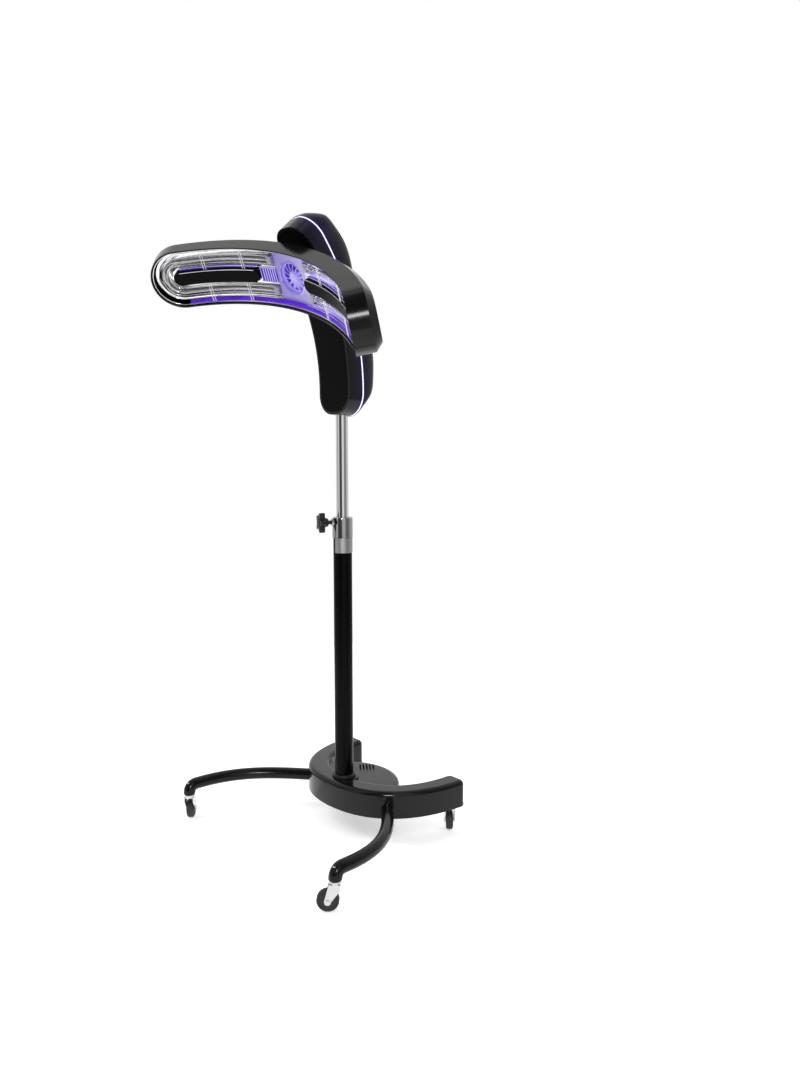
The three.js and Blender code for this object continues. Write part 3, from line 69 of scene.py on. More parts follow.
# Lamp arm: the radius of its bow at the rim, and sizes of the flat arm
RIM_RADIUS = 383
ARM_HALF = 303.5
ARM_WIDTH = 117
ARM_DEPTH = 49
ARM_WALL = 2.5
ARM_CHAMFER = 13
LEDGE_DEPTH = 35
LEDGE_WIDTH = 12
LEDGE_TO_FLOOR = 11.5
ARM_SEAMS = (-212, 212)
SEAM_HALF = 0.4
SEAM_DEPTH = 0.7
END_CENTRE = 245.5
FACE_DEPTH = 17
REFLECTOR_WIDTH = 99
REFLECTOR_SHEET = 1.2
TROUGH_DEPTH = 28
TROUGH_RADIUS = 17
TROUGH_FACETS = 13
LAMP_SPREAD = 31.5
LAMP_DEPTH = 19
LAMP_START = 52.3
LAMP_RADIUS = 5.5
COIL_START = 54
COIL_RADIUS = 1.3
ISLAND_TOP = 4.7
ISLAND_WIDTH = 29
ISLAND_STARTS = {"left": 75.3, "right": 44}
GUARD_DEPTH = 5
GUARD_SPREADS = (20, 27.5, 35, 42.5)
GUARD_STATIONS = (-190, -105, 105, 190)
STAY_SHIFTS = (-2.6, 2.6)
RAIL_WIRE = 1.2
STAY_WIRE = 0.8
LOOP_WIRE = 0.6
FAN_ZONE = 38
FAN_VANES = 13
VANE_LEAN = math.radians(40)
DUCT_BORE = 31
VENT_LENGTH = 36
VENT_SLATS = 6
SLAT_PITCH = 5.6
SLAT_WIDTH = 2

# Head: the radius of its bow at the front, and sizes of the flat head
BODY_RADIUS = 439
BODY_WIDTH = 97
BODY_LOW = -45
BODY_HIGH = 326
BODY_WALL = 2.5
BODY_CORNER = 42
FRONT_DEPTH = 33
FRONT_RIM = 5.4
FRONT_SINK = 1.4
PANEL_INSET = 6
STRIP_LOW = 33.3
STRIP_DEPTH = 3
STRIP_WIDTH = 5
BACK_START = 36.6
BACK_INSET = 15
SHAFT_BORE = 15
MAST_BORE = 12.8
# Depth of the back shell by share of its height, and how far its foot is drawn in
BACK_PROFILE = ((0, 17), (0.12, 32), (0.3, 38), (0.55, 27), (0.8, 46), (0.93, 39), (1, 20.7))
BACK_FOOT = 0.25
BACK_FOOT_SHARE = 0.16

# Mast, base, legs and casters
COLUMN_RADIUS = 19
COLUMN_BORE = 17.2
COLUMN_FOOT = 67.9
COLUMN_TOP = 632
COLLAR_BORE = 19.3
TUBE_RADIUS = 12.5
TUBE_BORE = 11
TUBE_LOW = 372
TUBE_HIGH = 934
BASE_UNDERSIDE = 57
COVER_TOP = 111
COVER_FRONT = 41
COVER_ROUND = 10
RIDGE_WIDTH = 48
HORN_X = 188
HORN_Y = 172
HORN_SHOULDER = 100
HORN_LEAD = 0.88
HORN_CUT = 0.0625
DISC_RADIUS = 115
DISC_TOP = 102
SLOT_COUNT = 5
SLOT_PITCH = 7
SLOT_CENTRE = (-17, 76)
SLOT_TURN = math.radians(-38)
LEG_RADIUS = 12.5
LEG_HEIGHT = 75.1
LEG_X = 252
LEG_Y = -222
LEG_BEND_Y = -204
WHEEL_RADIUS = 20
WHEEL_HALF = 7.4
WHEEL_BORE = 2.8
CASTER_TRAIL = 13
# Place of each caster's stem, and the way that it is turned in degrees
CASTERS = {
    "front_right": (LEG_X, LEG_Y, -42),
    "front_left": (-LEG_X, LEG_Y, -132),
    "rear_right": (164, 148, -132),
    "rear_left": (-164, 148, -132),
}

# Handle of a Bezier quarter circle, by its radius
QUARTER = 0.5523
# How much of a face's normal is along Y where the face counts as flat
FLAT = 0.9

# Where the fan's painted light is strongest, right of the fan, and how far it reaches in metres
FAN_SIDE_ANGLE = -75 / RIM_RADIUS
FAN_SIDE = ARM @ (Vector((0, math.cos(FAN_SIDE_ANGLE), math.sin(FAN_SIDE_ANGLE))) * RIM_RADIUS * MM)
PAINTED_GLOW_REACH = 0.085
# How far the violet light of the head's line, painted on its shells, reaches, and the painted light's
# colour
PAINTED_LIGHT_REACH = 22
PAINTED_LIGHT_COLOUR = (0.02, 0.011, 0.085, 1)

# Studio: sizes in metres
FLOOR_SIZE = 2.6
FLOOR_GLOW = 0.46
# Level unit vectors toward the camera and to its right
VIEW_TOWARD = (0.7401, -0.6725)
VIEW_RIGHT = (0.6725, 0.7401)
# Light and dark cards round the object: each one's bearing from the view, and its level
ROOM_CARDS = (
    (0, 1), (0.21, 0.8), (0.27, 0.3), (0.315, 0.85), (0.345, 0.85), (0.375, 0.1), (0.485, 0.06),
    (0.51, 0.9), (0.585, 0.9), (0.62, 0.25), (0.7, 0.3), (0.78, 0.75), (1, 1),
)
ROOM_LEVEL = 0.92
ROOM_RISE = 0.3
ROOM_LEAST = 0.03
# Name, place, what it is aimed at, size, power, and whether it shows only in reflections
LIGHTS = (
    ("key", (-1.4, -1.9, 2.6), (0, 0, 0.7), 1.5, 46, False),
    ("fill", (2.6, 0.6, 2.0), (0, 0, 0.7), 1.1, 22, False),
    ("gloss_card", (1.7, -1.74, 1.42), (0.25, -0.2, 0.85), 0.55, 30, True),
)
CAMERA_PLACE = Vector((1406.7, -1120.7, 810.85)) * MM
CAMERA_PITCH = math.radians(6.076)
CAMERA_LENS = 29.98
CAMERA_SENSOR = 36


# Modelling helpers

def rest():
    """Object mode, with nothing selected."""
    if bpy.context.mode != "OBJECT":
        bpy.ops.object.mode_set(mode="OBJECT")
    bpy.ops.object.select_all(action="DESELECT")


def start(name, add, **options):
    rest()
    add(**options)
    piece = bpy.context.object
    piece.name = name
    bpy.ops.object.transform_apply(location=True, rotation=True, scale=True)
    return piece


def alone(piece):
    rest()
    piece.select_set(True)
    bpy.context.view_layer.objects.active = piece


def edit(piece):
    alone(piece)
    bpy.ops.object.mode_set(mode="EDIT")


def choose(piece, kind, test):
    """Selects, in edit mode, only the verts, edges or faces that pass a test."""
    bpy.ops.mesh.select_mode(type=kind)
    bpy.ops.mesh.select_all(action="DESELECT")
    mesh = bmesh.from_edit_mesh(piece.data)
    for item in {"VERT": mesh.verts, "EDGE": mesh.edges, "FACE": mesh.faces}[kind]:
        if test(item):
            item.select_set(True)
    mesh.select_flush_mode()
    bmesh.update_edit_mesh(piece.data)


def facing(sign):
    """Whether a face looks straight along Y, to the back for 1 and to the front for -1."""
    return lambda face: face.normal.y * sign > FLAT


def rim(axis, level, sign=1):
    """Whether an edge is sharp and lies beyond a level along an axis."""
    return lambda edge: (
        all((vert.co[axis] - level) * sign > 0 for vert in edge.verts)
        and edge.calc_face_angle(0) > 1
    )


def push(distance):
    """Extrudes what is selected along Y."""
    bpy.ops.mesh.extrude_region_move(TRANSFORM_OT_translate={"value": (0, distance * MM, 0)})


def outward(piece):
    edit(piece)
    bpy.ops.mesh.select_all(action="SELECT")
    bpy.ops.mesh.remove_doubles(threshold=1e-6)
    bpy.ops.mesh.normals_make_consistent(inside=False)
    rest()


def apply(piece, kind, **settings):
    alone(piece)
    modifier = piece.modifiers.new(kind.lower(), kind)
    for key, value in settings.items():
        setattr(modifier, key, value)
    bpy.ops.object.modifier_apply(modifier=modifier.name)


def cut(piece, *cutters):
    for cutter in cutters:
        apply(piece, "BOOLEAN", operation="DIFFERENCE", object=cutter, solver="EXACT")
        bpy.data.objects.remove(cutter)


def rounded(piece, width, segments=2, angle=35):
    """Bevels the sharp edges and shades the rest smooth."""
    apply(
        piece, "BEVEL", width=width * MM, segments=segments, limit_method="ANGLE",
        angle_limit=math.radians(angle), use_clamp_overlap=True, harden_normals=False,
    )
    smooth(piece, angle)


def smooth(piece, angle=35):
    alone(piece)
    bpy.ops.object.shade_smooth_by_angle(angle=math.radians(angle))


def moved(piece, matrix):
    alone(piece)
    piece.matrix_world = matrix
    bpy.ops.object.transform_apply(location=True, rotation=True, scale=True)
    return piece


def joined(pieces):
    rest()
    for piece in pieces:
        piece.select_set(True)
    bpy.context.view_layer.objects.active = pieces[0]
    if len(pieces) > 1:
        bpy.ops.object.join()
    return pieces[0]


def placed(piece, body, finish, *nodes, slot):
    """Gives a finished piece its material, its body and the nodes that it stands for."""
    apply(piece, "WEIGHTED_NORMAL", keep_sharp=True)
    piece.data.materials.clear()
    piece.data.materials.append(finish)
    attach(piece, body)
    if nodes:
        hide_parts(*nodes)


def turned(name, profile, steps=64):
    """Spins a profile of (radius, height) round the Z axis."""
    piece = start(name, bpy.ops.mesh.primitive_plane_add, size=MM)
    edit(piece)
    bpy.ops.mesh.select_mode(type="VERT")
    bpy.ops.mesh.select_all(action="SELECT")
    bpy.ops.mesh.merge(type="CENTER")
    radius, height = profile[0]
    bpy.ops.transform.translate(value=(radius * MM, 0, height * MM))
    for (r, z), (next_r, next_z) in zip(profile, profile[1:]):
        step = ((next_r - r) * MM, 0, (next_z - z) * MM)
        bpy.ops.mesh.extrude_vertices_move(TRANSFORM_OT_translate={"value": step})
    bpy.ops.mesh.select_all(action="SELECT")
    bpy.ops.mesh.spin(steps=steps, angle=TURN, center=(0, 0, 0), axis=(0, 0, 1))
    outward(piece)
    return piece


def tube(name, outer, inner, low, high):
    return turned(name, [(inner, low), (outer, low), (outer, high), (inner, high), (inner, low)])


def rod(name, radius, low, high):
    return turned(name, [(0, low), (radius, low), (radius, high), (0, high)])


def pill(name, width, low, high, near, far, ends=66, corner=None):
    """A plate with rounded ends, standing on end."""
    corner = corner or width / 2
    piece = start(
        name, bpy.ops.mesh.primitive_circle_add, vertices=ends, radius=corner * MM,
        fill_type="NGON", rotation=(math.pi / 2, 0, 0), location=(0, near * MM, 0),
    )
    edit(piece)
    spare = width / 2 - corner
    for axis, sign, reach in ((2, 1, high - low - 2 * corner), (0, 1, spare), (0, -1, -spare)):
        choose(piece, "VERT", lambda vert: vert.co[axis] * sign > 1e-6)
        shift = [0, 0, 0]
        shift[axis] = reach * MM
        bpy.ops.transform.translate(value=shift)
    bpy.ops.mesh.select_all(action="SELECT")
    bpy.ops.transform.translate(value=(0, 0, (low + corner) * MM))
    push(far - near)
    outward(piece)
    return piece


def heights(piece):
    levels = [vert.co.z for vert in piece.data.vertices]
    return min(levels), max(levels)


def sliced(piece, step=10):
    """Cuts a standing piece across often enough to be bent."""
    foot, head = heights(piece)
    count = max(int((head - foot) / (step * MM)), 2)
    edit(piece)
    for k in range(1, count):
        bpy.ops.mesh.select_all(action="SELECT")
        at = foot + (head - foot) * k / count
        bpy.ops.mesh.bisect(plane_co=(0, 0, at), plane_no=(0, 0, 1))
    rest()
    return piece


def strip(name, across, deep, along, step=10):
    """A bar between pairs of bounds, ready to be bent."""
    spans = (across, deep, along)
    bar = start(
        name, bpy.ops.mesh.primitive_cube_add, size=1,
        scale=[(high - low) * MM for low, high in spans],
        location=[(low + high) / 2 * MM for low, high in spans],
    )
    return sliced(bar, step)


def bent(piece, radius):
    """Bends a standing piece round its bow, and sets the bow's centre at the origin."""
    foot, head = heights(piece)
    reach = head - foot
    apply(
        piece, "SIMPLE_DEFORM", deform_method="BEND", deform_axis="X",
        angle=-reach / (radius * MM),
    )
    moved(piece, Matrix.Translation((0, radius * MM, 0)))
    return piece


def path(name, points, closed=False, flat=False, resolution=12):
    """A Bezier curve. Points are (place, handle before, handle after)."""
    rest()
    bpy.ops.curve.primitive_bezier_curve_add()
    curve = bpy.context.object
    curve.name = name
    curve.data.dimensions = "2D" if flat else "3D"
    curve.data.resolution_u = resolution
    spline = curve.data.splines[0]
    spline.bezier_points.add(len(points) - len(spline.bezier_points))
    spline.use_cyclic_u = closed
    for knot, (place, before, after) in zip(spline.bezier_points, points):
        knot.handle_left_type = knot.handle_right_type = "FREE"
        knot.co = Vector(place) * MM
        knot.handle_left = Vector(before) * MM
        knot.handle_right = Vector(after) * MM
    return curve


def meshed(curve):
    alone(curve)
    bpy.ops.object.convert(target="MESH")
    piece = bpy.context.object
    outward(piece)
    return piece


def straight(places):
    """Knots of straight runs between places."""
    knots = []
    for k, place in enumerate(places):
        place = Vector(place)
        before = place.lerp(Vector(places[k - 1]), 1 / 3) if k else place
        after = place.lerp(Vector(places[k + 1]), 1 / 3) if k + 1 < len(places) else place
        knots.append((place, before, after))
    return knots


def wire(name, knots, radius, sides, resolution=12, closed=False):
    """A round wire along a Bezier curve, capped where it ends."""
    curve = path(name, knots, closed=closed, resolution=resolution)
    curve.data.bevel_depth = radius * MM
    curve.data.bevel_resolution = sides
    curve.data.use_fill_caps = not closed
    return meshed(curve)


def loop_knots(start_at, side, spread, depth):
    """Knots of a lamp's route: out along one edge, round the arm's end and back."""
    lean = QUARTER * spread
    end = side * END_CENTRE
    tip = side * (END_CENTRE + spread)
    begin = side * start_at
    third = (end - begin) / 3
    return [
        ((-spread, depth, begin), (-spread, depth, begin), (-spread, depth, begin + third)),
        ((-spread, depth, end), (-spread, depth, end - third), (-spread, depth, end + side * lean)),
        ((0, depth, tip), (-lean, depth, tip), (lean, depth, tip)),
        ((spread, depth, end), (spread, depth, end + side * lean), (spread, depth, end - third)),
        ((spread, depth, begin), (spread, depth, begin + third), (spread, depth, begin)),
    ]


# Materials

class Socket:
    """A node's output that takes arithmetic."""

    def __init__(self, finish, output):
        self.finish = finish
        self.output = output

    def _math(self, operation, *values):
        return self.finish.node("ShaderNodeMath", {"operation": operation}, *values)

    def __add__(self, other):
        return self._math("ADD", self, other)

    def __sub__(self, other):
        return self._math("SUBTRACT", self, other)

    def __rsub__(self, other):
        return self._math("SUBTRACT", other, self)

    def __mul__(self, other):
        return self._math("MULTIPLY", self, other)

    def __pow__(self, other):
        return self._math("POWER", self, other)

    __radd__ = __add__
    __rmul__ = __mul__


class Finish:
    """The node tree of one material, or of the room."""

    def __init__(self, owner, shader="Principled BSDF"):
        self.owner = owner
        owner.use_nodes = True
        self.tree = owner.node_tree
        self.shader = self.tree.nodes[shader]

    def node(self, kind, settings=None, *values, out=0, **named):
        node = self.tree.nodes.new(kind)
        for key, value in (settings or {}).items():
            if key == "stops":
                self.stops(node.color_ramp.elements, value)
            else:
                setattr(node, key, value)
        for key, value in [*enumerate(values), *named.items()]:
            self.feed(node.inputs[key.replace("_", " ") if isinstance(key, str) else key], value)
        return Socket(self, node.outputs[out])

    def stops(self, elements, levels):
        """Sets a ramp's grey levels, each at its place."""
        for k, (place, level) in enumerate(levels):
            stop = elements[k] if k < len(elements) else elements.new(place)
            stop.position = place
            stop.color = grey(level)

    def feed(self, entry, value):
        if isinstance(value, Socket):
            self.tree.links.new(value.output, entry)
        else:
            entry.default_value = value

    def set(self, **values):
        for key, value in values.items():
            self.feed(self.shader.inputs[key.replace("_", " ")], value)
        return self

    def spot(self):
        return self.node("ShaderNodeTexCoord", out="Object")

    def noise(self, scale, detail=3, stretch=(1, 1, 1)):
        place = self.node("ShaderNodeMapping", None, self.spot(), Scale=stretch)
        return self.node("ShaderNodeTexNoise", None, place, Scale=scale, Detail=detail)

    def mixed(self, share, first, second):
        node = self.tree.nodes.new("ShaderNodeMix")
        node.data_type = "RGBA"
        self.feed(node.inputs["Factor"], share)
        self.feed(node.inputs[6], first)
        self.feed(node.inputs[7], second)
        return Socket(self, node.outputs[2])

    def fade(self, away):
        """Falls softly from 1 at no distance to 0 some way off."""
        return self.node("ShaderNodeMath", {"operation": "EXPONENT"}, away * away * -1)

    def near(self, centre, reach):
        """How close a point is to a light, from 1 down to 0."""
        gap = {"operation": "DISTANCE"}
        away = self.node("ShaderNodeVectorMath", gap, self.spot(), centre, out="Value")
        return self.fade(away * (1 / reach))

    def bump(self, height, strength, distance=0.0004):
        bump = self.node("ShaderNodeBump", None, Strength=strength, Distance=distance, Height=height)
        return self.set(Normal=bump)


def grey(level):
    return (level, level, level, 1)


def moulded(name, level, roughness, grain, depth, gloss=0.5, painted_line_light=False):
    """Black plastic or paint: a fine orange peel, handling haze and a little dust.

    One that takes the head's light also has the violet light of the line round the head painted on it.
    """
    finish = Finish(bpy.data.materials.new(name))
    haze = finish.noise(scale=9, detail=4)
    dust = finish.noise(scale=260, detail=2) ** 6
    finish.set(
        Base_Color=finish.mixed(dust, grey(level), grey(level * 2.6 + 0.01)),
        Roughness=roughness * 0.75 + haze * roughness * 0.5,
        Specular_IOR_Level=gloss,
    )
    if painted_line_light:
        # Painted light: violet emission that fades with distance from the head's line, in patches
        centre = MAST + BOW_CENTRE
        flat = finish.node(
            "ShaderNodeMapping", None, finish.spot(),
            Location=(0, -centre.y, -centre.z), Scale=(0, 1, 1),
        )
        reach = finish.node("ShaderNodeVectorMath", {"operation": "LENGTH"}, flat, out="Value")
        line = (BODY_RADIUS + STRIP_LOW + STRIP_DEPTH / 2) * MM
        patches = finish.noise(scale=7, detail=2) ** 2
        share = finish.fade((reach - line) * (1 / (PAINTED_LIGHT_REACH * MM))) * patches
        finish.set(
            Emission_Color=finish.mixed(share, grey(0), PAINTED_LIGHT_COLOUR),
            Emission_Strength=1.0,
        )
    return finish.bump(finish.noise(grain, detail=2), depth).owner


def bright(
    name, level, roughness, tint=(1, 1, 1), stretch=(1, 1, 1), grain=220, depth=0.02, glow=None,
):
    """Plated or bare metal with soft smears along its run.

    A glowing one has painted light of two colours on it, far from the fan and beside it.
    """
    finish = Finish(bpy.data.materials.new(name))
    smear = finish.noise(scale=14, detail=4)
    lines = finish.noise(grain, stretch=stretch)
    shade = [level * t for t in tint]
    finish.set(
        Base_Color=finish.mixed(smear, (*[0.9 * s for s in shade], 1), (*shade, 1)),
        Metallic=1.0,
        Roughness=roughness + smear * roughness * 0.6 + lines * roughness * 0.4,
    )
    if glow:
        # Painted light: emission that stands in for the fan's violet light falling on the metal
        far, close = glow
        lit = finish.near(FAN_SIDE, PAINTED_GLOW_REACH) * (0.55 + finish.noise(scale=60, detail=2))
        finish.set(
            Emission_Color=finish.mixed(lit, (*far, 1), (*close, 1)),
            Emission_Strength=1.0,
        )
    return finish.bump(lines, depth, distance=0.0001).owner


def solid_colour(name, colour, roughness, grain=500, depth=0.1, spread=0.85):
    finish = Finish(bpy.data.materials.new(name))
    speckle = finish.noise(grain)
    dark = (*[spread * c for c in colour], 1)
    finish.set(
        Base_Color=finish.mixed(speckle, dark, (*colour, 1)),
        Roughness=roughness + speckle * 0.1,
    )
    return finish.bump(speckle, depth).owner


def glowing(name, colour, glow, strength, ripple=0.35, scale=60):
    """A light guide: emission that falls off between its diodes. It also paints light on the fan's
    vanes and the vent's slats, which are no lamps.
    """
    finish = Finish(bpy.data.materials.new(name))
    wave = finish.noise(scale, detail=1)
    dim = tuple((1 - ripple) * g for g in glow)
    finish.set(
        Base_Color=(*colour, 1),
        Roughness=0.25 + wave * 0.1,
        Emission_Color=finish.mixed(wave, (*dim, 1), (*glow, 1)),
        Emission_Strength=strength,
    )
    return finish.owner


def quartz(name):
    finish = Finish(bpy.data.materials.new(name))
    smear = finish.noise(scale=40)
    finish.set(
        Base_Color=finish.mixed(smear, (0.96, 0.96, 1, 1), (1, 1, 1, 1)),
        Roughness=0.03 + smear * 0.05,
        IOR=1.45,
        Transmission_Weight=1.0,
    )
    return finish.owner


GLOSS_BLACK = moulded("gloss_black_moulding", 0.005, 0.15, grain=700, depth=0.04, gloss=0.24)
SATIN_BLACK = moulded("satin_black_moulding", 0.008, 0.42, grain=1800, depth=0.12, gloss=0.3)
KEY_GREY = moulded("key_grey", 0.045, 0.4, grain=1800, depth=0.12)
ISLAND_BLACK = moulded("island_black", 0.008, 0.22, grain=700, depth=0.04, gloss=0.015)
DEAD_BLACK = moulded("dead_black_moulding", 0.0015, 0.5, grain=1500, depth=0.15, gloss=0.05)
BLACK_PAINT = moulded("black_powder_coat", 0.003, 0.2, grain=520, depth=0.1, gloss=0.2)
COLUMN_BLACK = moulded("column_black", 0.0018, 0.24, grain=520, depth=0.08, gloss=0.06)
CHROME = bright("chrome_plate", 0.8, 0.05)
DARK_CHROME = bright("dark_chrome_plate", 0.42, 0.09)
# Its glow is painted violet light from the fan
REFLECTOR = bright(
    "pressed_reflector", 0.86, 0.1, tint=(1, 0.99, 1), stretch=(1, 1, 0.05), grain=500, depth=0.05,
    glow=((0, 0, 0), (0.3, 0.26, 0.6)),
)
ALUMINIUM = bright(
    "brushed_aluminium", 0.4, 0.26, tint=(1, 1, 1.01), stretch=(1, 1, 0.04), grain=400, depth=0.12,
)
ZINC = bright("zinc_plate", 0.6, 0.2, tint=(1, 1, 1.02), grain=150, depth=0.1)
STEEL = bright("plain_steel", 0.5, 0.32, tint=(1, 1, 1.02), stretch=(1, 1, 8), grain=120, depth=0.1)
RUBBER = solid_colour("caster_rubber", (0.014, 0.014, 0.015), 0.6, grain=420, depth=0.25, spread=0.7)
NYLON = solid_colour("natural_nylon", (0.78, 0.76, 0.7), 0.45)
CERAMIC = solid_colour("pale_ceramic", (0.5, 0.49, 0.58), 0.45)
BOARD = solid_colour("circuit_board", (0.02, 0.13, 0.05), 0.4)
QUARTZ = quartz("lamp_quartz")
FILAMENT = bright("tungsten_coil", 0.3, 0.4, tint=(1, 0.95, 0.9), grain=900, depth=0.6)
# The fan's plate: its lavender tint and its glow are painted violet light from the fan
LIT_PLATE = bright(
    "lit_plate", 0.42, 0.16, tint=(0.8, 0.76, 1), grain=120, depth=0.6,
    glow=((0.05, 0.02, 0.28), (0.34, 0.3, 0.6)),
)
VIOLET = glowing(
    "violet_light_guide", (0.06, 0.03, 0.2), (0.12, 0.02, 0.72), 1.15, ripple=0.93, scale=26,
)
VIOLET_DIM = glowing("dim_light_guide", (0.08, 0.05, 0.2), (0.1, 0.04, 0.5), 0.5)
# The fan's vanes are no lamp: their glow is painted violet light from the backlight behind them
PAINTED_LIGHT_VANES = glowing("lit_vanes", (0.5, 0.46, 0.8), (0.34, 0.28, 0.85), 0.45, ripple=0.7)
# The vent's slats are no lamp: their glow is painted light from the backlight behind them
LIT_SLATS = glowing("lit_slats", (0.5, 0.45, 0.8), (0.45, 0.36, 1.0), 0.5, ripple=0.6)
DEEP_VIOLET = glowing("backlight", (0.04, 0.02, 0.15), (0.05, 0.012, 0.4), 0.9, ripple=0.6)
STRIP_GLOW = glowing("head_light_line", (0.8, 0.8, 0.9), (0.62, 0.56, 1.0), 1.2, ripple=0.2)
# The head's shells, with the light of the head's line painted on them
HEAD_BLACK_PAINTED_LIGHT = moulded(
    "black_moulding_with_painted_light", 0.005, 0.16, grain=700, depth=0.04, gloss=0.26, painted_line_light=True,
)
WINDOW = moulded("display_window", 0.004, 0.08, grain=300, depth=0.01)


# Lamp arm

def on_arm(piece, finish, *nodes, slot, angle=35, edge=0, segments=2):
    """Bends a piece round the arm's bow, eases or smooths its edges and places it."""
    bent(piece, RIM_RADIUS)
    if edge:
        rounded(piece, edge, segments, angle)
    else:
        smooth(piece, angle)
    placed(moved(piece, ARM), "arm", finish, *nodes, slot=slot)


def in_seam(face):
    """Whether a face of the arm's shell lies in a seam, on its outer side, back or chamfer."""
    middle = face.calc_center_median() / MM
    outside = abs(middle.x) > ARM_WIDTH / 2 - 0.01 or middle.y > ARM_DEPTH - 0.01
    chamfer = abs(face.normal.x) > 0.5 and face.normal.y > 0.5
    beside = min(abs(middle.z - seam) for seam in ARM_SEAMS)
    return beside < SEAM_HALF + 0.1 and (outside or chamfer)


def add_arm_shell():
    shell = pill("arm_shell_moulding", ARM_WIDTH, -ARM_HALF, ARM_HALF, 0, ARM_DEPTH)
    edit(shell)
    choose(shell, "FACE", facing(-1))
    bpy.ops.mesh.inset(thickness=ARM_WALL * MM)
    push(LEDGE_DEPTH)
    bpy.ops.mesh.inset(thickness=LEDGE_WIDTH * MM)
    push(LEDGE_TO_FLOOR)
    choose(shell, "EDGE", rim(1, ARM_DEPTH * MM - 1e-6))
    bpy.ops.mesh.bevel(offset=ARM_CHAMFER * MM, segments=1, affect="EDGES")
    sliced(shell)
    edit(shell)
    for seam in ARM_SEAMS:
        for edge in (-SEAM_HALF, SEAM_HALF):
            bpy.ops.mesh.select_all(action="SELECT")
            bpy.ops.mesh.bisect(plane_co=(0, 0, (seam + edge) * MM), plane_no=(0, 0, 1))
    choose(shell, "FACE", in_seam)
    bpy.ops.mesh.extrude_region_shrink_fatten(TRANSFORM_OT_shrink_fatten={"value": -SEAM_DEPTH * MM})
    rest()
    on_arm(shell, GLOSS_BLACK, "arm_shell", slot="gloss_black", angle=25, edge=1.4, segments=3)


def reflector(name, side):
    """Pressed trough with fluted facets, swept along the lamp's loop."""
    lips = [
        (-18, FACE_DEPTH - 0.4), (-16.6, FACE_DEPTH - 0.4), (-16.2, FACE_DEPTH), (-14.6, FACE_DEPTH),
    ]
    lead = math.asin((TROUGH_DEPTH - FACE_DEPTH) / TROUGH_RADIUS)
    trough = []
    for k in range(TROUGH_FACETS + 1):
        turn = math.pi + lead - (math.pi + 2 * lead) * k / TROUGH_FACETS
        trough.append((TROUGH_RADIUS * math.cos(turn), TROUGH_DEPTH + TROUGH_RADIUS * math.sin(turn)))
    inner = [(14.6, FACE_DEPTH), (26.6, FACE_DEPTH)]
    profile = [(side * x, y, 0) for x, y in (lips + trough + inner)[::side]]
    section = path(name + "_section", straight(profile), flat=True, resolution=1)
    knots = [
        tuple((p[0], p[2], 0) for p in knot)
        for knot in loop_knots(FAN_ZONE + 0.3, side, LAMP_SPREAD, 0)
    ]
    route = path(name, knots, flat=True, resolution=18)
    route.data.bevel_mode = "OBJECT"
    route.data.bevel_object = section
    sheet = meshed(route)
    bpy.data.objects.remove(section)
    return moved(sheet, UPENDED)


def add_island(name, side):
    """Black bar between a lamp's legs, with a chrome bead standing in for the highlight on its top
    edge, and a glow along one edge.
    """
    near = ISLAND_STARTS[name]
    edge = ISLAND_WIDTH / 2
    begin, end = sorted((side * near, side * (END_CENTRE + edge)))
    bar = pill(
        f"{name}_island_bar", ISLAND_WIDTH, begin, end, ISLAND_TOP, FACE_DEPTH - 0.3, ends=34,
    )
    edit(bar)
    choose(bar, "EDGE", rim(1, (ISLAND_TOP + 0.1) * MM, -1))
    bpy.ops.mesh.bevel(offset=3 * MM, segments=2, profile=0.6, affect="EDGES")
    on_arm(sliced(bar), ISLAND_BLACK, f"{name}_island", slot="gloss_black", angle=40, edge=0.4)
    flank = sorted((side * (near + 8), side * END_CENTRE))
    # Painted highlight: a chrome bead stands in for the reflection along the bar's top edge
    highlight_bead = strip(
        f"{name}_island_bead", (edge - 3.4, edge - 1.9), (ISLAND_TOP - 0.2, ISLAND_TOP + 1.6), flank,
    )
    on_arm(highlight_bead, CHROME, slot="chrome", edge=0.5)
    glow = strip(f"{name}_island_glow", (edge, edge + 1), (FACE_DEPTH - 6, FACE_DEPTH - 0.4), flank)
    on_arm(glow, DEEP_VIOLET, slot="violet_light")


def add_lamps():
    for name, side in (("left", 1), ("right", -1)):
        sheet = reflector(f"{name}_reflector_trough", side)
        outward(sheet)
        apply(sheet, "SOLIDIFY", thickness=REFLECTOR_SHEET * MM, offset=1)
        on_arm(sheet, REFLECTOR, f"{name}_reflector", slot="chrome", angle=12)
        route = loop_knots(LAMP_START, side, LAMP_SPREAD, LAMP_DEPTH)
        glass = wire(f"{name}_lamp_tube", route, LAMP_RADIUS, sides=5, resolution=16)
        on_arm(glass, QUARTZ, f"{name}_lamp", slot="lamp_glass", angle=60)
        route = loop_knots(COIL_START, side, LAMP_SPREAD, LAMP_DEPTH)
        coil = wire(f"{name}_lamp_coil", route, COIL_RADIUS, sides=2, resolution=16)
        on_arm(coil, FILAMENT, slot="steel", angle=60)
        add_island(name, side)


def add_light_guides():
    """A glowing foot and lining along each wall of the arm."""
    wall = ARM_WIDTH / 2 - ARM_WALL - 0.3
    along = (-END_CENTRE, END_CENTRE)
    for name, edge, finish in (("upper", 1, VIOLET_DIM), ("lower", -1, VIOLET)):
        foot = sorted((edge * (wall - 4.6), edge * wall))
        lining = sorted((edge * (wall - 0.8), edge * wall))
        guide = joined([
            strip(f"{name}_light_guide", foot, (FACE_DEPTH, FACE_DEPTH + 1.6), along),
            strip("lining", lining, (FACE_DEPTH - 9, FACE_DEPTH), along),
        ])
        on_arm(guide, finish, f"{name}_led_strip", slot="violet_light")


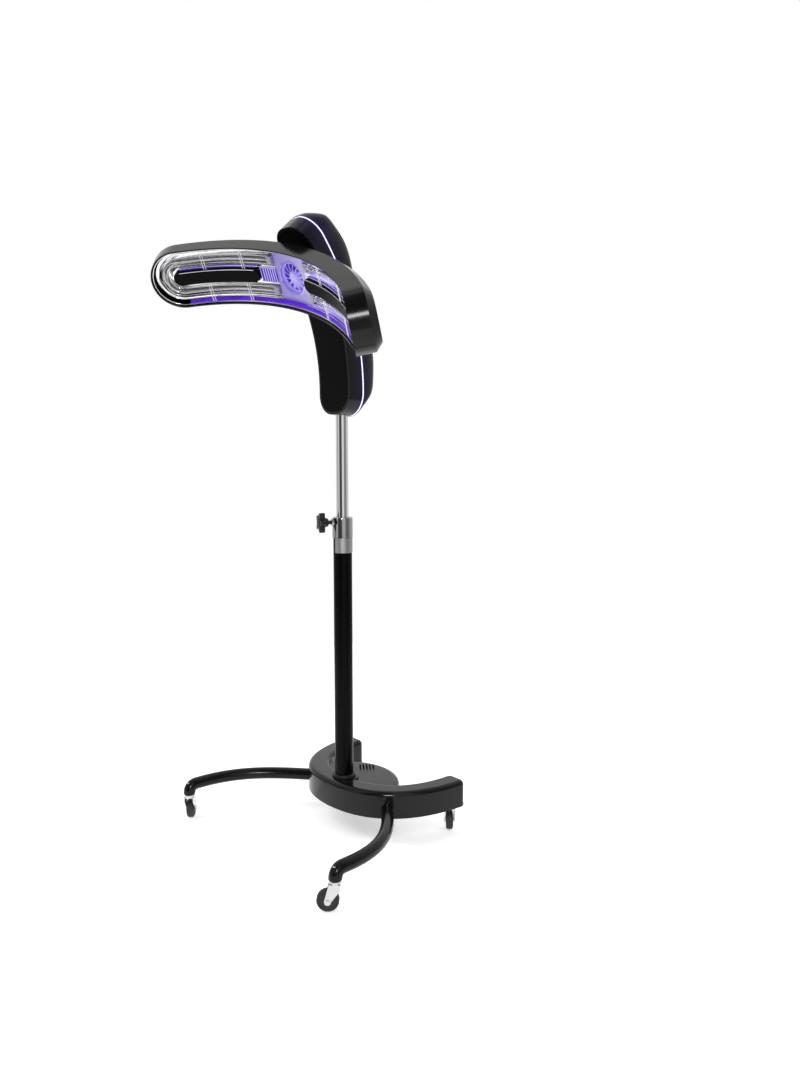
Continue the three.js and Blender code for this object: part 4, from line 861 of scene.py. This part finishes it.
def add_guard():
    """Bent wire guard: one rail all round, with loops and paired stays over the lamps."""
    edge = ARM_WIDTH / 2 - ARM_WALL - 2.2
    inner = ISLAND_WIDTH / 2 + 0.6
    depth = GUARD_DEPTH
    lean = QUARTER * edge
    knots = []
    for side in (1, -1):
        end = side * END_CENTRE
        tip = side * (END_CENTRE + edge)
        out, back = -side * edge, side * edge
        knots += [
            ((out, depth, end), (out, depth, end / 3), (out, depth, end + side * lean)),
            ((0, depth, tip), (-side * lean, depth, tip), (side * lean, depth, tip)),
            ((back, depth, end), (back, depth, end + side * lean), (back, depth, end / 3)),
        ]
    wires = [wire("wire_guard_cage", knots, RAIL_WIRE, sides=2, resolution=24, closed=True)]
    for side in (1, -1):
        for spread in GUARD_SPREADS:
            route = loop_knots(FAN_ZONE + 2, side, spread, depth + 1.1)
            wires.append(wire("loop", route, LOOP_WIRE, sides=1, resolution=14))
    for station in GUARD_STATIONS:
        for shift in STAY_SHIFTS:
            at = station + shift
            for side in (-1, 1):
                ends = [(side * edge, depth, at), (side * inner, depth, at)]
                wires.append(wire("stay", straight(ends), STAY_WIRE, sides=2))
    on_arm(joined(wires), CHROME, "wire_guard", slot="chrome", angle=60)


def add_fan():
    front = RIM_RADIUS + FACE_DEPTH + 1
    spoke = ARM @ SPOKE
    hub = turned("fan_rotor", [
        (0, front - 1), (5, front - 1), (8.6, front - 0.2), (10.4, front + 1.4), (11, front + 3),
        (11, front + 10), (0, front + 10),
    ], steps=40)
    lift = Matrix.Translation((0, 0, (front + 4) * MM))
    lean = Matrix.Rotation(VANE_LEAN, 4, "X")
    pieces = [hub]
    for k in range(FAN_VANES):
        route = path("vane", [
            ((10, 0, 0), (10, 0, 0), (15, 0, 0)),
            ((28.3, 5, 0), (23, 0.5, 0), (28.3, 5, 0)),
        ], flat=True)
        route.data.fill_mode = "NONE"
        route.data.extrude = 2.6 * MM
        vane = meshed(route)
        apply(vane, "SOLIDIFY", thickness=0.9 * MM, offset=0)
        turn = Matrix.Rotation(TURN * k / FAN_VANES, 4, "Z")
        pieces.append(moved(vane, turn @ lift @ lean))
    pieces.append(tube("rim", outer=29, inner=27.8, low=front + 1, high=front + 6))
    rotor = joined(pieces)
    smooth(rotor)
    # The rotor's glow is painted light
    placed(moved(rotor, spoke), "fan", PAINTED_LIGHT_VANES, "fan_impeller", slot="violet_light")
    glow = tube("fan_backlight", outer=30.6, inner=12, low=front + 9, high=front + 10)
    smooth(glow)
    placed(moved(glow, spoke), "arm", DEEP_VIOLET, slot="violet_light")


def add_middle_plate():
    """Plate round the fan, with the duct's collar in its bore."""
    half = REFLECTOR_WIDTH / 2
    plate = strip(
        "fan_plate", (-half, half), (FACE_DEPTH, FACE_DEPTH + 2), (-FAN_ZONE, FAN_ZONE), step=6,
    )
    bent(plate, RIM_RADIUS)
    cut(plate, moved(rod("bore", DUCT_BORE, low=350, high=480), SPOKE))
    lip = RIM_RADIUS + FACE_DEPTH
    floor = RIM_RADIUS + ARM_DEPTH - ARM_WALL - 2
    collar = turned("duct", [
        (DUCT_BORE, lip - 1), (32, lip - 2), (33.4, lip - 1.6), (34, lip), (33, lip + 3), (33, floor),
        (DUCT_BORE, floor), (DUCT_BORE, lip - 1),
    ])
    whole = joined([plate, moved(collar, SPOKE)])
    smooth(whole, angle=30)
    placed(moved(whole, ARM), "arm", LIT_PLATE, "fan_duct", slot="chrome")


def add_vent():
    """Slats beside the fan with painted light from the backlight on them, in a frame that is open
    toward the fan.
    """
    begin = FAN_ZONE + 1
    end = begin + VENT_LENGTH
    half = ISLAND_WIDTH / 2
    inside = (-half + 1, half - 1)
    top, foot = FACE_DEPTH - 3.2, FACE_DEPTH - 0.3
    bars = [
        strip("vent_slats", (-half, -half + 1), (top, foot), (begin, end)),
        strip("side", (half - 1, half), (top, foot), (begin, end)),
    ]
    for k in range(VENT_SLATS):
        at = begin + k * SLAT_PITCH
        bars.append(strip("slat", inside, (top + 0.4, foot - 1.5), (at, at + SLAT_WIDTH)))
    bars.append(strip("end", inside, (top, foot), (end - 1, end)))
    on_arm(joined(bars), LIT_SLATS, "vent_grille", slot="satin_black", edge=0.25, segments=1)
    glow = strip("vent_backlight", inside, (foot - 1.4, foot), (begin, end - 1), step=6)
    on_arm(glow, DEEP_VIOLET, slot="violet_light")


add_arm_shell()
add_lamps()
add_light_guides()
add_guard()
add_fan()
add_middle_plate()
add_vent()


# Head

def head_plate(name, inset, near, far, corner=BODY_CORNER):
    """A flat plate of the head's outline, drawn in by an inset."""
    low, high = BODY_LOW + inset, BODY_HIGH - inset
    return pill(name, BODY_WIDTH - 2 * inset, low, high, near, far, corner=corner)


def on_head(piece, edge, segments=2):
    """Bends a piece round the head's bow, eases its edges and moves it to the head."""
    bent(sliced(piece), BODY_RADIUS)
    rounded(piece, edge, segments, angle=50)
    return moved(piece, HEAD)


def orbit_bore():
    """A cutter along the arm's axis of turn."""
    return moved(rod("bore", SHAFT_BORE, low=300, high=480), TILTED @ SPOKE)


def mast_bore():
    """A cutter along the mast."""
    return moved(rod("bore", MAST_BORE, low=700, high=940), STAND)


def add_front_shell():
    shell = head_plate("head_front_moulding", inset=0, near=0, far=FRONT_DEPTH)
    edit(shell)
    choose(shell, "FACE", facing(1))
    bpy.ops.mesh.inset(thickness=BODY_WALL * MM)
    push(BODY_WALL - FRONT_DEPTH)
    choose(shell, "FACE", lambda face: face.normal.y < -FLAT and face.calc_center_median().y < MM)
    bpy.ops.mesh.inset(thickness=FRONT_RIM * MM)
    push(FRONT_SINK)
    rest()
    on_head(shell, edge=2.2, segments=3)
    cut(shell, orbit_bore(), mast_bore())
    smooth(shell, angle=40)
    placed(shell, "head", HEAD_BLACK_PAINTED_LIGHT, "head_front_shell", slot="gloss_black")


def add_front_panel():
    """Dull black plate set into the head's front."""
    panel = head_plate(
        "head_front_panel", PANEL_INSET, near=0.5, far=FRONT_SINK, corner=BODY_CORNER - PANEL_INSET,
    )
    on_head(panel, edge=0.3)
    cut(panel, orbit_bore())
    smooth(panel, angle=40)
    placed(panel, "head", DEAD_BLACK, slot="satin_black")


def add_light_line():
    line = head_plate("head_light_line", inset=0.4, near=STRIP_LOW, far=STRIP_LOW + STRIP_DEPTH)
    edit(line)
    choose(line, "FACE", lambda face: abs(face.normal.y) > FLAT)
    bpy.ops.mesh.inset(thickness=STRIP_WIDTH * MM)
    bpy.ops.mesh.delete(type="FACE")
    choose(line, "EDGE", lambda edge: edge.is_boundary)
    bpy.ops.mesh.bridge_edge_loops()
    outward(line)
    on_head(line, edge=0.5)
    cut(line, mast_bore())
    placed(line, "head", STRIP_GLOW, "light_strip", slot="violet_light")


def eased(share):
    share = min(max(share, 0), 1)
    return share * share * (3 - 2 * share)


def back_depth(along):
    """How deep the back shell is, eased between its lobes and drawn in at its foot."""
    share = (along - BODY_LOW) / (BODY_HIGH - BODY_LOW)
    foot = BACK_FOOT + (1 - BACK_FOOT) * eased(share / BACK_FOOT_SHARE)
    for (a, depth), (b, next_depth) in zip(BACK_PROFILE, BACK_PROFILE[1:]):
        if share <= b:
            return foot * (depth + (next_depth - depth) * eased((share - a) / (b - a)))
    return BACK_PROFILE[-1][1]


def add_back_shell():
    shell = head_plate(
        "head_back_moulding", inset=0, near=BACK_START, far=BACK_START + BACK_INSET,
    )
    edit(shell)
    choose(shell, "FACE", facing(-1))
    bpy.ops.mesh.delete(type="FACE")
    choose(shell, "EDGE", rim(1, (BACK_START + BACK_INSET) * MM - 1e-6))
    bpy.ops.mesh.bevel(offset=(BACK_INSET - 0.1) * MM, segments=7, profile=0.56, affect="EDGES")
    sliced(shell, step=6)
    for vert in shell.data.vertices:
        share = (vert.co.y / MM - BACK_START) / BACK_INSET
        vert.co.y = (BACK_START + share * back_depth(vert.co.z / MM)) * MM
    apply(shell, "SOLIDIFY", thickness=BODY_WALL * MM, offset=-1)
    bent(shell, BODY_RADIUS)
    opening = pill(
        "opening", width=46, low=22, high=154, near=BACK_START - 3, far=BACK_START + 60, ends=34,
    )
    cut(shell, bent(sliced(opening), BODY_RADIUS))
    smooth(shell, angle=50)
    placed(moved(shell, HEAD), "head", HEAD_BLACK_PAINTED_LIGHT, "head_back_shell", slot="gloss_black")


add_front_shell()
add_front_panel()
add_light_line()
add_back_shell()


# Mast

def add_mast():
    low, high = COLUMN_FOOT, COLUMN_TOP
    column = turned("column_tube", [
        (COLUMN_BORE, low), (COLUMN_RADIUS, low), (COLUMN_RADIUS, high - 1), (18.4, high),
        (COLUMN_BORE, high), (COLUMN_BORE, low),
    ])
    smooth(column)
    placed(moved(column, STAND), "base", COLUMN_BLACK, "column", slot="black_paint")
    ring = turned("foot_collar", [
        (COLLAR_BORE, 111.3), (24.3, 111.3), (24.3, 115), (22.6, 117.6), (20.4, 118.3),
        (COLLAR_BORE, 118.3), (COLLAR_BORE, 111.3),
    ])
    smooth(ring, angle=30)
    placed(moved(ring, STAND), "base", SATIN_BLACK, "column_foot_ring", slot="satin_black")
    low, high = TUBE_LOW, TUBE_HIGH
    slider = turned("chromed_tube", [
        (TUBE_BORE, low), (12, low), (TUBE_RADIUS, low + 0.8), (TUBE_RADIUS, high - 0.8), (12, high),
        (TUBE_BORE, high), (TUBE_BORE, low),
    ])
    smooth(slider)
    placed(moved(slider, STAND), "head", CHROME, "sliding_tube", slot="chrome")


add_mast()


# Base

def flipped(place):
    return Vector((-place.x, place.y, place.z))


def horn_edge(inset, turn):
    """Knots of the left half of the horseshoe's edge, at an inset: tip, shoulder and front.

    The tip's corner is rounded. Turn is 1 for the outer edge and -1 for the inner one.
    """
    side = HORN_X - inset
    front = inset - COVER_FRONT
    tip, shoulder = Vector((-side, HORN_Y, 0)), Vector((-side, HORN_SHOULDER, 0))
    lead, nose = Vector((-HORN_LEAD * side, front, 0)), Vector((0, front, 0))
    first = tip.lerp(shoulder, HORN_CUT)
    second = shoulder.lerp(lead, HORN_CUT)
    third = lead.lerp(nose, HORN_CUT)
    ahead = second.lerp(third, HORN_CUT)
    begin = first.lerp(second, HORN_CUT).lerp(ahead, HORN_CUT)
    corner = HORN_Y - begin.y
    top = Vector((begin.x + turn * corner, HORN_Y, 0))
    across = Vector((turn * QUARTER * corner, 0, 0))
    return [
        (top, top + across / 2, top - across),
        (begin, begin + (begin - ahead).normalized() * QUARTER * corner, ahead),
        (nose, third, flipped(third)),
    ]


def base_ridge():
    """The horseshoe with its two horns."""
    outer = horn_edge(0, 1)
    inner = horn_edge(RIDGE_WIDTH, -1)
    knots = [
        *outer,
        *[(flipped(at), flipped(after), flipped(before)) for at, before, after in reversed(outer[:2])],
        *[tuple(flipped(place) for place in knot) for knot in inner],
        *[(at, after, before) for at, before, after in reversed(inner[:2])],
    ]
    outline = path("base_moulding", knots, closed=True, flat=True, resolution=24)
    height = COVER_TOP - BASE_UNDERSIDE
    outline.data.fill_mode = "BOTH"
    outline.data.extrude = height / 2 * MM
    ridge = moved(meshed(outline), Matrix.Translation((0, 0, (BASE_UNDERSIDE + height / 2) * MM)))
    edit(ridge)
    bpy.ops.mesh.select_all(action="SELECT")
    bpy.ops.mesh.dissolve_limited(angle_limit=math.radians(0.4))
    choose(ridge, "EDGE", rim(2, (COVER_TOP - 0.1) * MM))
    bpy.ops.mesh.bevel(offset=COVER_ROUND * MM, segments=6, affect="EDGES")
    rest()
    return ridge


def base_disc():
    """The half-round cover behind the mast, with its slots."""
    edge, top = DISC_RADIUS, DISC_TOP
    disc = turned("disc", [
        (0, BASE_UNDERSIDE), (edge, BASE_UNDERSIDE), (edge, top - 9), (edge - 1, top - 5.5),
        (edge - 3.4, top - 2.4), (edge - 8, top - 0.4), (edge - 14, top), (0, top),
    ], steps=96)
    edit(disc)
    bpy.ops.mesh.select_all(action="SELECT")
    bpy.ops.mesh.bisect(plane_co=(0, 0, 0), plane_no=(0, 1, 0), clear_inner=True, use_fill=True)
    rest()
    x, y = SLOT_CENTRE
    centre = Matrix.Translation((x * MM, y * MM, top * MM))
    lie = Matrix.Rotation(math.pi / 2, 4, "Z") @ Matrix.Rotation(math.pi / 2, 4, "X")
    slots = []
    for k in range(SLOT_COUNT):
        slot = pill("slot", width=3.5, low=-23.5, high=23.5, near=-6, far=6, ends=18)
        shift = Matrix.Translation((0, (k - SLOT_COUNT // 2) * SLOT_PITCH * MM, 0))
        spin = Matrix.Rotation(SLOT_TURN, 4, "Z") @ shift
        slots.append(moved(slot, centre @ spin @ lie))
    cut(disc, joined(slots))
    return disc


def add_base():
    boss = [
        (COLLAR_BORE, 90), (30, 90), (30, 109), (29.2, 110.4), (27.5, COVER_TOP),
        (COLLAR_BORE, COVER_TOP), (COLLAR_BORE, 90),
    ]
    cover = joined([base_ridge(), base_disc(), turned("boss", boss)])
    smooth(cover, angle=30)
    placed(moved(cover, STAND), "base", GLOSS_BLACK, "base_cover", slot="gloss_black")


def add_legs():
    x, y, top, foot = LEG_X, LEG_Y, LEG_HEIGHT, BASE_UNDERSIDE
    bend = top - foot
    knots = [
        ((84, 40, top), (84, 40, top), (196, -44, top)),
        ((x, LEG_BEND_Y, top), (x, -96, top), (x, LEG_BEND_Y - bend * 2 / 3, top)),
        ((x, y, foot), (x, y, top - bend / 3), (x, y, foot)),
    ]
    for name, side in (("right", 1), ("left", -1)):
        mirrored = [tuple((side * at[0], *at[1:]) for at in knot) for knot in knots]
        leg = wire(f"{name}_leg_tube", mirrored, LEG_RADIUS, sides=8, resolution=32)
        rounded(leg, 0.6, angle=50)
        placed(moved(leg, STAND), "base", BLACK_PAINT, f"{name}_leg", slot="black_paint")


add_base()
add_legs()


# Pieces whose solids already have their form

def refined(node, name, body, finish, slot, width):
    """A copy of a solid with its flat faces cleaned and its edges eased."""
    piece = bpy.data.objects.new(name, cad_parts[node].data.copy())
    bpy.context.scene.collection.objects.link(piece)
    outward(piece)
    apply(piece, "DECIMATE", decimate_type="DISSOLVE", angle_limit=math.radians(1))
    rounded(piece, width, angle=40)
    placed(piece, body, finish, node, slot=slot)


def add_fittings():
    for corner in CASTERS:
        fork = f"{corner}_fork"
        refined(f"{corner}_caster_fork", f"{corner}_fork_plates", fork, ZINC, "chrome", width=0.5)
    refined("clamp_collar", "mast_clamp", "base", DARK_CHROME, "chrome", width=0.5)
    refined("column_band", "column_sleeve", "base", ALUMINIUM, "aluminium", width=0.2)
    refined("clamp_knob", "star_knob", "clamp_knob", SATIN_BLACK, "satin_black", width=1.4)
    refined("cord_gland", "gland_bush", "base", RUBBER, "rubber", width=0.6)
    refined("control_panel", "panel_plate", "head", SATIN_BLACK, "satin_black", width=0.3)
    refined("display_window", "display_lens", "head", WINDOW, "display_glass", width=0.3)
    for button in ("power", "start", "time_up", "time_down"):
        node = f"{button}_button"
        refined(node, f"{button}_key", node, KEY_GREY, "satin_black", width=0.3)


def add_wheels():
    half = WHEEL_HALF
    side = [
        (8, half), (14.6, half - 2), (16, half - 1), (17, half - 0.4), (18.6, half - 1.2),
        (WHEEL_RADIUS, half - 3.4),
    ]
    outline = [
        (WHEEL_BORE, -half), *[(r, -z) for r, z in side], *reversed(side),
        (WHEEL_BORE, half), (WHEEL_BORE, -half),
    ]
    axle = Matrix.Rotation(math.pi / 2, 4, "Y")
    for corner, (x, y, heading) in CASTERS.items():
        wheel = turned(f"{corner}_tyre", outline)
        smooth(wheel, angle=40)
        turn = math.radians(heading)
        trail = CASTER_TRAIL * math.sin(turn), -CASTER_TRAIL * math.cos(turn)
        centre = Vector((x + trail[0], y + trail[1], WHEEL_RADIUS)) * MM
        seat = Matrix.Translation(MAST + centre) @ Matrix.Rotation(turn, 4, "Z") @ axle
        node = f"{corner}_caster_wheel"
        placed(moved(wheel, seat), f"{corner}_wheel", RUBBER, node, slot="wheel_rubber")


add_fittings()
add_wheels()


# Solids that stay as they are, inside

def dress_solids():
    finishes = {
        STEEL: (
            "base_plate", "mast_socket", "transformer", "front_bearing", "rear_bearing",
            "orbit_motor", "hub_shaft", "shaft_nut",
        ),
        ALUMINIUM: ("tube_socket", "bearing_housing"),
        NYLON: ("column_guide_bush", "tube_foot_bush", "orbit_pinion", "orbit_gear"),
        CERAMIC: (
            "left_upper_lamp_holder", "left_lower_lamp_holder",
            "right_upper_lamp_holder", "right_lower_lamp_holder",
        ),
        BOARD: ("control_board",),
        SATIN_BLACK: ("fan_motor",),
    }
    for finish, nodes in finishes.items():
        for node in nodes:
            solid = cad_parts[node]
            solid.data.materials.clear()
            solid.data.materials.append(finish)


dress_solids()


# Studio

def aimed(item, way):
    """Turns a lamp or a camera to look along a way."""
    item.rotation_euler = way.to_track_quat("-Z", "Y").to_euler()


def add_floor():
    rest()
    bpy.ops.mesh.primitive_plane_add(size=FLOOR_SIZE, location=(0, 0, 0))
    floor = bpy.context.object
    floor.name = "floor"
    paper = Finish(bpy.data.materials.new("white_floor"))
    paper.set(
        Base_Color=grey(0.9), Roughness=0.9, Specular_IOR_Level=0.0,
        Emission_Color=grey(1), Emission_Strength=FLOOR_GLOW,
    )
    floor.data.materials.append(paper.owner)


def add_room():
    """White to the camera and through glass; cards in what the surfaces reflect."""
    world = bpy.data.worlds.new("white_room")
    bpy.context.scene.world = world
    room = Finish(world, "Background")
    direction = room.node("ShaderNodeTexCoord", out="Generated")
    height = room.node("ShaderNodeSeparateXYZ", None, direction, out="Z")
    dot = {"operation": "DOT_PRODUCT"}
    toward = room.node("ShaderNodeVectorMath", dot, direction, (*VIEW_TOWARD, 0), out="Value")
    side = room.node("ShaderNodeVectorMath", dot, direction, (*VIEW_RIGHT, 0), out="Value")
    bearing = room.node("ShaderNodeMath", {"operation": "ARCTAN2"}, side, toward)
    cards = room.node("ShaderNodeValToRGB", {"stops": ROOM_CARDS}, bearing * (1 / TURN) + 0.5)
    level = cards * (ROOM_LEVEL + height * ROOM_RISE)
    soft = room.node("ShaderNodeClamp", None, level, Min=ROOM_LEAST, Max=1.0)
    seen = room.node("ShaderNodeLightPath", out="Is Camera Ray")
    through = room.node("ShaderNodeLightPath", out="Is Transmission Ray")
    whole = room.node("ShaderNodeClamp", None, seen + through)
    room.set(Color=grey(1), Strength=soft + (1 - soft) * whole)


def add_lights():
    for name, place, aim_at, size, power, glossy in LIGHTS:
        bpy.ops.object.light_add(type="AREA", location=place)
        light = bpy.context.object
        light.name = name
        light.data.size = size
        light.data.energy = power
        light.visible_glossy = glossy
        light.visible_diffuse = not glossy
        aimed(light, Vector(aim_at) - Vector(place))


def add_camera():
    data = bpy.data.cameras.new("camera")
    data.sensor_width = CAMERA_SENSOR
    data.lens = CAMERA_LENS
    view = bpy.data.objects.new("camera", data)
    bpy.context.scene.collection.objects.link(view)
    view.location = MAST + CAMERA_PLACE
    level = math.cos(CAMERA_PITCH)
    x, y = VIEW_TOWARD
    aimed(view, Vector((-x * level, -y * level, -math.sin(CAMERA_PITCH))))
    bpy.context.scene.camera = view


add_floor()
add_room()
add_lights()
add_camera()
bpy.context.scene.view_settings.view_transform = "Standard"
